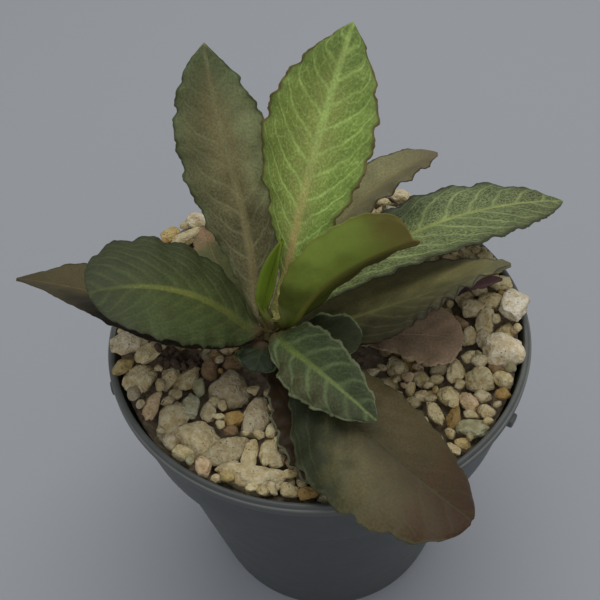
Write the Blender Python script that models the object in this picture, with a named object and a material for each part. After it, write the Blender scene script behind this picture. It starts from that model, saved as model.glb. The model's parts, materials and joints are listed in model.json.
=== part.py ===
"""A potted euphorbia: a plastic nursery pot, soil, a pumice gravel top, a short stem and its leaves.

Metres, +Z up. The origin is the centre of the pot's flat underside; the photograph is taken from -Y.
Sizes below are in millimetres and angles in degrees; MM turns them into metres in the meshes.
"""
import math
import random

import bpy
import numpy as np

MM = 0.001
GAP = 0.3                 # clearance between pieces that touch in the real plant

# Pot: a turned plastic nursery pot with a deep collar under its rim.
POT_HEIGHT = 80.0
RIM_RADIUS = 45.0
COLLAR_FOOT_Z = 62.0      # lower edge of the collar
COLLAR_FOOT_RADIUS = 42.2
BODY_TOP_RADIUS = 40.2    # outside of the body just under the collar
FOOT_RADIUS = 31.4
FOOT_EDGE = 0.6           # bevel round the foot
BEAD_WIDTH = 2.2          # the rolled bead of the rim, measured inwards
BEAD_DROP = 2.6           # and downwards
BEAD_EDGE = 0.6
WALL = 1.2
FLOOR = 2.0
POT_SEGMENTS = 48
DRAIN_RADIUS = 3.5
DRAIN_CIRCLE = 21.0
DRAIN_COUNT = 6
LUG_ANGLES = (197.0, 325.0)   # two stacking lugs on the collar
LUG_SIZE = (2.4, 4.6, 3.0)    # radial, along the collar, height
LUG_Z = 75.0

# Soil and gravel.
SOIL_TOP = 71.0
GRAVEL_CORE_TOP = 75.2
GRAVEL_HEAP = 3.4         # rise of the gravel towards the rim at the back and sides
CORE_SEGMENTS = 32
PEBBLE_RADII = (2.0, 4.2)
PEBBLE_SPACING = 0.88     # of the sum of two radii: neighbours sink a little into each other
PEBBLE_TRIES = 2600
PEBBLE_SEED = 11

# Stem: stands in a plain hole and tapers above the gravel.
STEM_X = -9.0
STEM_Y = -8.5
STEM_FOOT_Z = 66.3
STEM_RADIUS = 4.0
STEM_STRAIGHT_Z = 78.0
STEM_TAPER = 0.2          # loss of radius per millimetre above the straight part
STEM_TOP_Z = 88.7

# Leaves.
BLADE = 0.7               # thickness of a blade
STALK_EXTRA = 0.8         # extra thickness where the stalk starts
COLUMNS = (-1.0, -0.62, -0.28, 0.0, 0.28, 0.62, 1.0)
START_RISE = 12.0         # every stalk leaves the stem at this rise
TOOTH = 0.35              # depth of the teeth along a margin


def leaf(heading, turn, rise, roll, length, width, height, seat, fold, outline, ruffle, waves,
         stations, neck=0.16, stalk=1.1):
    """One leaf: heading and seat are compass angles from +X, height is where its stalk meets the stem."""
    return dict(heading=heading, turn=turn, rise=rise, roll=roll, length=length, width=width,
                height=height, seat=seat, fold=fold, outline=outline, ruffle=ruffle, waves=waves,
                stations=stations, neck=neck, stalk=stalk)


LEAVES = {
    "upright": leaf(41, 4, (72, 64), (-41, 49), 59.5, 21.5, 87.8, 72, (12, 5), (1.3, 0.8), 0.4, 7, 26),
    "rear_left": leaf(84, 56, (35, 91), (-9, -50), 58, 19.5, 85.1, 120, (16, 5), (1.4, 0.85), 0.7, 6, 26),
    "spoon": leaf(-24, 15, (75, 28), (-58, -73), 38.5, 16.5, 88.8, -10, (26, 26), (0.55, 0.3), 0.2, 4, 20),
    "spindle": leaf(57, -20, (57, 66), (21, 19), 17, 6.5, 88.6, 125, (55, 55), (0.8, 0.8), 0.0, 2, 12,
                    neck=0.22, stalk=0.8),
    "right": leaf(41, -33, (19, -11), (-19, -8), 71.5, 24.5, 85.6, 38, (12, -5), (1.3, 0.85), 0.8, 7, 28),
    "rear_right": leaf(56, -30, (46, 0), (-31, -8), 54, 14.5, 83.0, 72, (18, 12), (1.3, 0.7), 0.7, 8, 24),
    "left": leaf(177, 28, (69, 7), (-13, 2), 37, 26, 86.5, 185, (10, -4), (0.85, 0.42), 0.4, 4, 22),
    "far_left": leaf(172, 10, (33, 18), (-16, 30), 49, 22, 82.0, 172, (10, 10), (1.2, 0.9), 0.6, 5, 22),
    "rear_small": leaf(127, -23, (19, 8), (0, -7), 32, 9, 81.0, 131, (10, 10), (1.2, 0.7), 0.5, 4, 16),
    "front": leaf(-54, 5, (19, -6), (26, 32), 30, 13.5, 87.4, -70, (16, 2), (0.5, 0.75), 0.7, 4, 20,
                  neck=0.2),
    "lobe": leaf(-104, -11, (6, -9), (3, -4), 7.5, 8.5, 84.2, -122, (10, 0), (0.6, 0.45), 0.4, 2, 12,
                 neck=0.35, stalk=0.9),
    "dark": leaf(-24, -3, (41, -1), (8, 5), 17.5, 10.5, 85.3, -30, (10, 10), (0.8, 0.45), 0.4, 3, 14),
    "drooping": leaf(-62, 22, (16, -12), (19, -19), 51, 26, 82.9, -66, (-4, -22), (0.72, 0.46), 0.6, 6, 28),
    "under_front": leaf(-63, -14, (0, -1), (0, 1), 29.5, 9.5, 79.0, -96, (8, 0), (1.0, 0.6), 0.4, 5, 18),
    "olive": leaf(10, -22, (11, 36), (1, -37), 47, 28, 82.2, 12, (8, 4), (0.9, 0.8), 0.7, 8, 26),
    "red": leaf(21, -35, (5, -6), (-7, 2), 36, 15.5, 80.2, -14, (5, 0), (1.4, 0.45), 0.4, 5, 20),
    "under_right": leaf(25, -27, (11, 0), (0, -9), 48, 9.5, 80.4, 34, (5, 0), (1.2, 0.8), 0.5, 6, 20),
}

# Base colours, red green blue in linear light.
COLOURS = {
    "pot": (0.115, 0.122, 0.126), "soil": (0.045, 0.032, 0.024), "gravel": (0.56, 0.49, 0.38),
    "stem": (0.16, 0.13, 0.07),
    "leaf_upright": (0.20, 0.30, 0.09), "leaf_rear_left": (0.14, 0.17, 0.09),
    "leaf_spoon": (0.20, 0.28, 0.07), "leaf_spindle": (0.18, 0.34, 0.04),
    "leaf_right": (0.17, 0.22, 0.14), "leaf_rear_right": (0.20, 0.18, 0.11),
    "leaf_left": (0.11, 0.15, 0.07), "leaf_far_left": (0.16, 0.13, 0.09),
    "leaf_rear_small": (0.18, 0.15, 0.11), "leaf_front": (0.09, 0.14, 0.08),
    "leaf_lobe": (0.07, 0.10, 0.06), "leaf_dark": (0.06, 0.08, 0.06),
    "leaf_drooping": (0.17, 0.14, 0.10), "leaf_under_front": (0.08, 0.05, 0.04),
    "leaf_olive": (0.12, 0.11, 0.07), "leaf_red": (0.20, 0.13, 0.10),
    "leaf_under_right": (0.15, 0.10, 0.07),
}


def clear_scene():
    for thing in list(bpy.data.objects):
        bpy.data.objects.remove(thing, do_unlink=True)


def add_object(name, corners, faces):
    """A mesh object from corners in millimetres."""
    mesh = bpy.data.meshes.new(name)
    mesh.from_pydata([tuple(float(value) * MM for value in corner) for corner in corners], [], faces)
    mesh.update()
    thing = bpy.data.objects.new(name, mesh)
    bpy.context.scene.collection.objects.link(thing)
    return thing


def finish(thing, name, roughness):
    """Name the node and give it a material of its own."""
    thing.name = name
    thing.data.name = name
    material = bpy.data.materials.new(name)
    material.use_nodes = True
    shader = material.node_tree.nodes["Principled BSDF"]
    shader.inputs["Base Color"].default_value = (*COLOURS[name], 1.0)
    shader.inputs["Roughness"].default_value = roughness
    thing.data.materials.clear()
    thing.data.materials.append(material)


def bake(thing):
    """Replace the mesh by its modified copy."""
    graph = bpy.context.evaluated_depsgraph_get()
    mesh = bpy.data.meshes.new_from_object(thing.evaluated_get(graph))
    thing.modifiers.clear()
    thing.data = mesh


def combine(thing, others, operation):
    """One exact Boolean of the object with a collection of others, which are then removed."""
    group = bpy.data.collections.new("operands")
    for other in others:
        group.objects.link(other)
    step = thing.modifiers.new("combine", "BOOLEAN")
    step.operation = operation
    step.operand_type = "COLLECTION"
    step.collection = group
    step.solver = "EXACT"
    bake(thing)
    for other in others:
        bpy.data.objects.remove(other, do_unlink=True)
    bpy.data.collections.remove(group)


def turned(profile, segments, centre=(0.0, 0.0)):
    """A closed solid turned about a vertical line. The profile runs from the axis round to the axis."""
    corners = []
    rings = []
    for radius, height in profile:
        if radius == 0.0:
            rings.append([len(corners)])
            corners.append((centre[0], centre[1], height))
            continue
        rings.append(list(range(len(corners), len(corners) + segments)))
        for step in range(segments):
            angle = math.tau * step / segments
            x = centre[0] + radius * math.cos(angle)
            y = centre[1] + radius * math.sin(angle)
            corners.append((x, y, height))
    faces = []
    for low, high in zip(rings[:-1], rings[1:]):
        for step in range(segments):
            after = (step + 1) % segments
            if len(low) == 1:
                faces.append((low[0], high[after], high[step]))
            elif len(high) == 1:
                faces.append((low[step], low[after], high[0]))
            else:
                faces.append((low[step], low[after], high[after], high[step]))
    return add_object("turned", corners, faces)


def box(size, place, angle):
    """A box turned about Z, its centre at place."""
    turn = math.radians(angle)
    corners = []
    for x in (-0.5, 0.5):
        for y in (-0.5, 0.5):
            for z in (-0.5, 0.5):
                across = x * size[0]
                along = y * size[1]
                corners.append((place[0] + across * math.cos(turn) - along * math.sin(turn),
                                place[1] + across * math.sin(turn) + along * math.cos(turn),
                                place[2] + z * size[2]))
    faces = [(0, 1, 3, 2), (4, 6, 7, 5), (0, 4, 5, 1), (2, 3, 7, 6), (0, 2, 6, 4), (1, 5, 7, 3)]
    return add_object("box", corners, faces)


def smooth(value):
    value = np.clip(value, 0.0, 1.0)
    return value * value * (3.0 - 2.0 * value)


def body_radius(height):
    """Outside radius of the pot's body under the collar."""
    return FOOT_RADIUS + (BODY_TOP_RADIUS - FOOT_RADIUS) * height / COLLAR_FOOT_Z


def inner_radius(height):
    """Inside radius of the pot at a height."""
    if height < COLLAR_FOOT_Z - 1.0:
        return body_radius(height) - WALL
    low = BODY_TOP_RADIUS - WALL
    wide = COLLAR_FOOT_RADIUS - WALL
    if height < COLLAR_FOOT_Z + 1.0:
        return low + (wide - low) * (height - COLLAR_FOOT_Z + 1.0) / 2.0
    share = (height - COLLAR_FOOT_Z - 1.0) / (POT_HEIGHT - COLLAR_FOOT_Z - 2.0)
    return wide + (RIM_RADIUS - BEAD_WIDTH - wide) * share


def make_pot():
    """Turned shell with a collar and a beaded rim, drain holes in its floor and two lugs on its collar."""
    profile = [
        (0.0, 0.0), (FOOT_RADIUS - FOOT_EDGE, 0.0), (FOOT_RADIUS, FOOT_EDGE),
        (body_radius(COLLAR_FOOT_Z - 1.0), COLLAR_FOOT_Z - 1.0),
        (COLLAR_FOOT_RADIUS, COLLAR_FOOT_Z),
        (RIM_RADIUS - BEAD_EDGE, POT_HEIGHT - BEAD_DROP - BEAD_EDGE),
        (RIM_RADIUS, POT_HEIGHT - BEAD_DROP), (RIM_RADIUS, POT_HEIGHT - BEAD_EDGE),
        (RIM_RADIUS - BEAD_EDGE, POT_HEIGHT), (RIM_RADIUS - BEAD_WIDTH + BEAD_EDGE, POT_HEIGHT),
        (RIM_RADIUS - BEAD_WIDTH, POT_HEIGHT - BEAD_EDGE),
        (inner_radius(POT_HEIGHT - 3.0), POT_HEIGHT - 3.0),
        (inner_radius(COLLAR_FOOT_Z + 1.0), COLLAR_FOOT_Z + 1.0),
        (inner_radius(COLLAR_FOOT_Z - 1.0001), COLLAR_FOOT_Z - 1.0),
        (inner_radius(FLOOR), FLOOR), (0.0, FLOOR),
    ]
    pot = turned(profile, POT_SEGMENTS)
    lugs = []
    for angle in LUG_ANGLES:
        turn = math.radians(angle)
        reach = RIM_RADIUS - 0.35
        lugs.append(box(LUG_SIZE, (reach * math.cos(turn), reach * math.sin(turn), LUG_Z), angle))
    combine(pot, lugs, "UNION")
    drains = []
    for step in range(DRAIN_COUNT):
        turn = math.tau * step / DRAIN_COUNT
        centre = (DRAIN_CIRCLE * math.cos(turn), DRAIN_CIRCLE * math.sin(turn))
        bore = [(0.0, -1.0), (DRAIN_RADIUS, -1.0), (DRAIN_RADIUS, FLOOR + 1.0), (0.0, FLOOR + 1.0)]
        drains.append(turned(bore, 12, centre))
    combine(pot, drains, "DIFFERENCE")
    finish(pot, "pot", 0.45)


def stem_hole():
    """The plain hole that the stem stands in."""
    radius = STEM_RADIUS + GAP
    bore = [(0.0, STEM_FOOT_Z - GAP), (radius, STEM_FOOT_Z - GAP), (radius, 84.0), (0.0, 84.0)]
    return turned(bore, 20, (STEM_X, STEM_Y))


def make_soil():
    """Filling of the pot under the gravel."""
    profile = [
        (0.0, FLOOR + GAP), (inner_radius(FLOOR) - GAP, FLOOR + GAP),
        (inner_radius(COLLAR_FOOT_Z - 1.0001) - GAP, COLLAR_FOOT_Z - 1.0),
        (inner_radius(COLLAR_FOOT_Z + 1.0) - GAP, COLLAR_FOOT_Z + 1.0),
        (inner_radius(SOIL_TOP) - GAP, SOIL_TOP), (0.0, SOIL_TOP),
    ]
    soil = turned(profile, POT_SEGMENTS)
    combine(soil, [stem_hole()], "DIFFERENCE")
    finish(soil, "soil", 0.95)


def stem_radius(height):
    """Radius of the stem, which tapers above the gravel."""
    return STEM_RADIUS - STEM_TAPER * max(0.0, height - STEM_STRAIGHT_Z)


def make_stem():
    """Short stem with a blunt growing tip."""
    top_radius = stem_radius(STEM_TOP_Z)
    profile = [
        (0.0, STEM_FOOT_Z), (STEM_RADIUS, STEM_FOOT_Z), (STEM_RADIUS, STEM_STRAIGHT_Z),
        (top_radius, STEM_TOP_Z), (top_radius * 0.55, STEM_TOP_Z + 0.8),
        (0.0, STEM_TOP_Z + 1.0),
    ]
    finish(turned(profile, 20, (STEM_X, STEM_Y)), "stem", 0.8)


def midrib(spec, along):
    """Points and frames along a leaf's midrib: position, side direction and blade normal."""
    fine = np.linspace(0.0, 1.0, 161)
    free = smooth(fine / spec["neck"])
    heading = np.radians(spec["seat"] * (1.0 - free) + (spec["heading"] + spec["turn"] * fine) * free)
    rise = spec["rise"][0] + (spec["rise"][1] - spec["rise"][0]) * fine
    rise = np.radians(START_RISE * (1.0 - free) + rise * free)
    roll = np.radians((spec["roll"][0] + (spec["roll"][1] - spec["roll"][0]) * fine) * free)
    ahead = np.stack([np.cos(rise) * np.cos(heading), np.cos(rise) * np.sin(heading), np.sin(rise)], 1)
    level = np.stack([-np.sin(heading), np.cos(heading), np.zeros_like(heading)], 1)
    above = np.cross(ahead, level)
    side = level * np.cos(roll)[:, None] + above * np.sin(roll)[:, None]
    normal = above * np.cos(roll)[:, None] - level * np.sin(roll)[:, None]
    seat = math.radians(spec["seat"])
    reach = stem_radius(spec["height"]) + GAP
    foot = np.array([STEM_X + reach * math.cos(seat), STEM_Y + reach * math.sin(seat), spec["height"]])
    steps = (ahead[1:] + ahead[:-1]) / 2.0 * spec["length"] / (len(fine) - 1)
    points = np.concatenate([[foot], foot + np.cumsum(steps, 0)])
    return [np.stack([np.interp(along, fine, row[:, axis]) for axis in range(3)], 1)
            for row in (points, side, normal)]


def half_width(spec, along):
    """Half the width of a leaf along its midrib: a stalk that runs into the blade's own outline."""
    rising, falling = spec["outline"]
    peak = rising / (rising + falling)
    shape = (along / peak) ** rising * ((1.0 - along) / (1.0 - peak)) ** falling
    stalk = spec["stalk"] * (1.0 - smooth(along / 0.5)) * (1.0 - along)
    return np.sqrt((spec["width"] / 2.0 * shape) ** 2 + stalk ** 2)


def leaf_surface(spec, along, across, teeth):
    """Middle surface of a blade, folded along its midrib and waved along its margins."""
    points, side, normal = midrib(spec, along)
    sign = np.sign(across)[None, :]
    away = np.abs(across)[None, :]
    width = half_width(spec, along)[:, None] + teeth[:, None] * (away > 0.99)
    fold = np.radians(spec["fold"][0] + (spec["fold"][1] - spec["fold"][0]) * away / 2.0)
    outward = away * np.cos(fold) * width * sign
    upward = away * np.sin(fold) * width
    share = np.minimum(1.0, width / (0.35 * spec["width"])) * smooth(along / 0.25)[:, None]
    left = np.sin(math.tau * spec["waves"] * along)[:, None]
    right = np.sin(math.tau * (spec["waves"] * 1.17 * along + 0.37))[:, None]
    upward = upward + spec["ruffle"] * share * away ** 3 * np.where(sign > 0, left, right)
    return points[:, None] + outward[..., None] * side[:, None] + upward[..., None] * normal[:, None]


def leaf_solid(spec):
    """Corners and triangles of a leaf: two faces split alike, joined round the margin."""
    count = spec["stations"]
    along = 0.999 * (1.0 - (1.0 - np.linspace(0.0, 1.0, count)) ** 1.25)
    across = np.array(COLUMNS)
    width = len(across)
    teeth = np.where(np.arange(count) % 2 == 1, TOOTH, 0.0) * smooth(along / 0.3) * (along < 0.97)
    middle = leaf_surface(spec, along, across, teeth)
    normal = np.cross(np.gradient(middle, axis=0), np.gradient(middle, axis=1))
    normal /= np.maximum(np.linalg.norm(normal, axis=2, keepdims=True), 1e-9)
    thick = (BLADE + STALK_EXTRA * (1.0 - smooth(along / 0.22)))[:, None, None]
    corners = np.concatenate([(middle + normal * thick / 2).reshape(-1, 3),
                              (middle - normal * thick / 2).reshape(-1, 3)])

    def at(row, column, face):
        return face * count * width + row * width + column

    faces = []
    for row in range(count - 1):
        for column in range(width - 1):
            a, b = (row, column), (row + 1, column)
            c, d = (row + 1, column + 1), (row, column + 1)
            halves = [(a, b, d), (b, c, d)] if column >= width // 2 else [(a, b, c), (a, c, d)]
            for half in halves:
                faces.append(tuple(at(*corner, 0) for corner in half))
                faces.append(tuple(at(*corner, 1) for corner in reversed(half)))
    edge = [((row, 0), (row + 1, 0)) for row in range(count - 1)]
    edge += [((row + 1, width - 1), (row, width - 1)) for row in range(count - 1)]
    edge += [((0, column + 1), (0, column)) for column in range(width - 1)]
    edge += [((count - 1, column), (count - 1, column + 1)) for column in range(width - 1)]
    for start, end in edge:
        faces.append((at(*start, 1), at(*end, 1), at(*end, 0)))
        faces.append((at(*start, 1), at(*end, 0), at(*start, 0)))
    return corners, faces


def make_leaves():
    """Every leaf as a node of its own. Returns the corners of all of them."""
    everything = []
    for name, spec in LEAVES.items():
        corners, faces = leaf_solid(spec)
        finish(add_object(name, corners, faces), "leaf_" + name, 0.5)
        everything.append(corners)
    return np.concatenate(everything)


def heap(x, y):
    """Rise of the gravel towards the rim, at the back and the sides."""
    edge = smooth((math.hypot(x, y) - 28.0) / 12.0)
    return GRAVEL_HEAP * float(edge * smooth((y + 28.0) / 26.0))


def core_top(x, y):
    return GRAVEL_CORE_TOP + heap(x, y)


def gravel_core():
    """Thin bed that carries the pebbles, its top raised where the gravel is heaped."""
    low = SOIL_TOP + GAP
    rings = (0.0, 10.0, 20.0, 28.0, 34.0, 38.0, inner_radius(SOIL_TOP) - GAP - 0.2)
    corners = [(0.0, 0.0, low), (0.0, 0.0, GRAVEL_CORE_TOP)]
    top = []
    for radius in rings[1:]:
        top.append(list(range(len(corners), len(corners) + CORE_SEGMENTS)))
        for step in range(CORE_SEGMENTS):
            angle = math.tau * step / CORE_SEGMENTS
            x, y = radius * math.cos(angle), radius * math.sin(angle)
            corners.append((x, y, core_top(x, y)))
    bottom = list(range(len(corners), len(corners) + CORE_SEGMENTS))
    foot = inner_radius(low) - GAP - 0.2
    for step in range(CORE_SEGMENTS):
        angle = math.tau * step / CORE_SEGMENTS
        corners.append((foot * math.cos(angle), foot * math.sin(angle), low))
    faces = []
    for step in range(CORE_SEGMENTS):
        after = (step + 1) % CORE_SEGMENTS
        faces.append((1, top[0][step], top[0][after]))
        for inside, outside in zip(top[:-1], top[1:]):
            faces.append((inside[step], outside[step], outside[after]))
            faces.append((inside[step], outside[after], inside[after]))
        faces.append((top[-1][step], bottom[step], bottom[after], top[-1][after]))
        faces.append((0, bottom[after], bottom[step]))
    return add_object("core", corners, faces)


def ball_corners():
    """Corners and faces of a twenty-sided ball."""
    gold = (1.0 + math.sqrt(5.0)) / 2.0
    corners = []
    for one in (-1.0, 1.0):
        for two in (-gold, gold):
            corners += [(0.0, one, two), (one, two, 0.0), (two, 0.0, one)]
    corners = [np.array(corner) / math.hypot(1.0, gold) for corner in corners]
    faces = []
    for a in range(12):
        for b in range(a + 1, 12):
            for c in range(b + 1, 12):
                sides = [np.linalg.norm(corners[i] - corners[j]) for i, j in ((a, b), (b, c), (a, c))]
                if max(sides) < 1.2:
                    out = np.dot(np.cross(corners[b] - corners[a], corners[c] - corners[a]), corners[a])
                    faces.append((a, b, c) if out > 0 else (a, c, b))
    return corners, faces


def pebble_places(rng):
    """Centres and radii of pebbles that keep clear of each other, the stem and the pot."""
    places = []
    for _ in range(PEBBLE_TRIES):
        radius = rng.uniform(*PEBBLE_RADII)
        reach = (inner_radius(74.0) - GAP - radius - 0.4) * math.sqrt(rng.random())
        angle = rng.uniform(0.0, math.tau)
        x, y = reach * math.cos(angle), reach * math.sin(angle)
        if math.hypot(x - STEM_X, y - STEM_Y) < STEM_RADIUS + GAP + radius + 0.6:
            continue
        if all(math.hypot(x - u, y - v) > (radius + other) * PEBBLE_SPACING for u, v, other in places):
            places.append((x, y, radius))
    return places


def make_gravel(leaf_corners):
    """Pebbles sunk into the bed and fused with it, kept under the leaves that lie over them."""
    rng = random.Random(PEBBLE_SEED)
    gravel = gravel_core()
    unit, faces = ball_corners()
    pebbles = []
    for x, y, radius in pebble_places(rng):
        turn = rng.uniform(0.0, math.tau)
        stretch = (rng.uniform(0.9, 1.0), rng.uniform(0.72, 0.95), rng.uniform(0.62, 0.85))
        height = core_top(x, y) + 0.25 * radius
        near = np.hypot(leaf_corners[:, 0] - x, leaf_corners[:, 1] - y) < radius + 1.0
        ceiling = leaf_corners[near, 2].min() - GAP if near.any() else 1000.0
        height = min(height, ceiling - radius * stretch[2] * 1.03)
        if height < core_top(x, y) - 0.45 * radius * stretch[2]:
            continue
        corners = []
        for corner in unit:
            size = radius * rng.uniform(0.9, 1.03)
            a, b, c = corner[0] * stretch[0], corner[1] * stretch[1], corner[2] * stretch[2]
            corners.append((x + size * (a * math.cos(turn) - b * math.sin(turn)),
                            y + size * (a * math.sin(turn) + b * math.cos(turn)), height + size * c))
        pebbles.append(add_object("pebble", corners, faces))
    combine(gravel, pebbles, "UNION")
    combine(gravel, [stem_hole()], "DIFFERENCE")
    finish(gravel, "gravel", 0.9)


def main():
    clear_scene()
    make_pot()
    make_soil()
    make_stem()
    leaf_corners = make_leaves()
    make_gravel(leaf_corners)


main()
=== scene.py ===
"""Looks of the potted euphorbia: veined leaves, loose pumice, a scarred stem and a moulded pot.

The frame gives each piece at its real size. The pieces made here stand in the same places with a finer
surface. Sizes in the tables are in millimetres and angles in degrees, and MM turns them into metres.
"""
import json
import math
import random
from dataclasses import dataclass
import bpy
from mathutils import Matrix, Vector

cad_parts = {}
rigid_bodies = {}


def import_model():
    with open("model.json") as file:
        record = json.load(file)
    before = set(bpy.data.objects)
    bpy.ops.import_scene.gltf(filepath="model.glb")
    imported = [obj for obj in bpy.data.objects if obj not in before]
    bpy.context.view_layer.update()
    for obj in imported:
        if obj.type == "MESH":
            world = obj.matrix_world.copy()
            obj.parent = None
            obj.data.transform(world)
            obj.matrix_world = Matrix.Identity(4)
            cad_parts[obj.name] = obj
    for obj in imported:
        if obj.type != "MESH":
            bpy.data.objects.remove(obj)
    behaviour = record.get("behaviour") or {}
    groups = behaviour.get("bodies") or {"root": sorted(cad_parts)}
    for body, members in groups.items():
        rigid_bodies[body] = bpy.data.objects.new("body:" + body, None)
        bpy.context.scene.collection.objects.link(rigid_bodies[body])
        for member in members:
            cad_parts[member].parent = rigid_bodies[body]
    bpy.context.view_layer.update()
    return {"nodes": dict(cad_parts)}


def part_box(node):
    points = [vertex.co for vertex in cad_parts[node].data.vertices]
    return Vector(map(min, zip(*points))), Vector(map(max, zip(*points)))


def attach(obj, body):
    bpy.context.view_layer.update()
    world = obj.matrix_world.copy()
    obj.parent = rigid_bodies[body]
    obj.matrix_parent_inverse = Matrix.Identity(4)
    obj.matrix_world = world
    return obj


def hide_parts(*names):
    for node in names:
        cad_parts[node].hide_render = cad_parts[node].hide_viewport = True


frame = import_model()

from types import SimpleNamespace

import bmesh
import bpy
import numpy as np
from mathutils import Matrix, Vector, noise

MM = 0.001

# Pot: its height and its rim come from the frame, and its foot stands on the floor.
POT_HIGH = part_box("pot")[1]
POT_HEIGHT = POT_HIGH.z / MM
RIM_RADIUS = POT_HIGH.y / MM
COLLAR_FOOT_Z = 62.0
COLLAR_FOOT_RADIUS = 42.2
BODY_TOP_RADIUS = 40.2
FOOT_RADIUS = 31.4
WALL = 1.2
FLOOR = 2.0
BEAD_WIDTH = 1.6
BEAD_DROP = 2.2
POT_SEGMENTS = 240
DRAIN_RADIUS = 3.5
DRAIN_CIRCLE = 21.0
DRAIN_COUNT = 6
LUG_ANGLES = (197.0, 325.0)
LUG_SIZE = (1.9, 2.7, 1.9)
LUG_Z = 75.9

# Gravel, laid on a bed of compost and dust.
BED_LEVEL = 74.0              # height of its middle
HEAP_HEIGHT = 4.2             # how much higher it stands along the wall at the sides
HEAP_FOOT = (28.0, 12.0)      # radius at which the heap starts, and the width of its slope
HEAP_FRONT = (-28.0, 26.0)    # y at which it starts at the front, and how far it goes on growing
HEAP_BACK = (8.0, 16.0, 0.35)         # the same for the part added at the back, and its share
BANK_HEIGHT = 1.6             # low bank along the wall at the front
BANK_FOOT = (38.5, 3.5)       # radius at which it starts, and the width of its slope
BED_RADIUS = 42.5
BED_FOOT = (41.6, 71.4)       # radius and height of its lower edge, on the soil
STONE_REACH = 42.7            # stones stay this near the pot's axis
STONE_CELL = 0.4              # grid on which the stones are laid
GRID_REACH = 44.0             # half its width
STONE_SEED = 5
STEM_CLEARANCE = 3.5
LEAF_CLEARANCE = 0.35         # room left between a stone and the leaf over it
PILE_LIMIT = 4.6              # most that a loose stone's top may stand over the bed
SHOWN_HALF = (0.56, 0.56, 0.42)         # a shown stone's half-sizes, in its length, width and width
SHOWN_LIFT = 3.4              # a flat one's centre stands this far over the bed, a thick one's lower
WALL_SHARE = 0.35             # share of the tries that go against the wall of the pot

# Stem.
STEM_LOW, STEM_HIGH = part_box("stem")
STEM_X = (STEM_LOW.x + STEM_HIGH.x) / 2.0 / MM
STEM_Y = (STEM_LOW.y + STEM_HIGH.y) / 2.0 / MM
STEM_RADIUS = 4.0
STEM_STRAIGHT_Z = 78.0
STEM_TAPER = 0.2
STEM_TIP = 4.4                # length over which it rounds off

# Scales round the growing tip: compass angle, foot height, length, width, lean outwards.
BUD_SCALES = [
    (-60, 86.6, 3.0, 1.7, 26), (-105, 86.0, 2.6, 1.6, 34), (-150, 86.4, 2.8, 1.5, 30),
    (160, 86.8, 3.2, 1.5, 22), (-20, 85.8, 2.6, 1.7, 36), (100, 87.2, 3.0, 1.4, 16),
    (-80, 87.6, 2.6, 1.2, 12), (-125, 87.6, 2.8, 1.2, 8),
]

# Leaves.
START_RISE = 12.0             # angle at which a stalk leaves the stem
ROOT_SINK = 2.2               # how far a stalk runs into the stem
BLADE = 0.5                   # thickness of a blade
STALK_EXTRA = 0.9             # and what a stalk adds to it
TOOTH_PITCH = 1.5
VEIN_LEAN = 0.75              # how far a side vein runs forward for each millimetre outwards
VEIN_BEND = 0.035             # and how fast it bends forward
MAP_SIZE = 100.0              # millimetres of a blade that fill its UV map from side to side

# Camera, worked out from the ellipses of the rim and the foot in the photograph.
PICTURE_WIDTH = 600.0         # pixels
FOCAL_LENGTH = 729.5          # in pixels of that picture
RIM_CENTRE = (316.69, 317.03)         # pixels from the left and from the top
RIM_DISTANCE = 3.5            # in radii of the rim
ELEVATION = 48.41
ROLL = 3.01
SENSOR_WIDTH = 36.0
FLOOR_REACH = 3000            # half the width of the floor under it all


@dataclass
class Leaf:
    """Shape of one leaf. A pair is a value at the stalk and one at the tip, unless its comment differs."""
    heading: float                # compass angle from +X in which the free leaf starts
    turn: float                   # and how far it swings along its length
    rise: tuple
    roll: tuple
    length: float
    width: float
    height: float                 # at which its stalk leaves the stem
    seat: float                   # and the compass angle at which it does
    fold: tuple                   # slope of the blade beside the midrib and at the margin
    outline: tuple                # powers by which the blade widens and narrows
    ruffle: tuple                 # rise of the margin's waves in the left and in the right half
    waves: int                    # and how many there are
    neck: float = 0.16            # share of the length in which the stalk turns from seat to heading
    stalk: float = 1.1            # half its width
    teeth: float = 0.35           # depth of the small teeth
    puff: float = 0.12            # rise of the skin between the side veins
    scallop: float = 0.35         # depth of the scallops that carry the teeth
    slim: float = 0.0             # how much the right half is narrowed near the stalk
    calm: float = 0.0             # share of the length in which the margin has no waves


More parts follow.
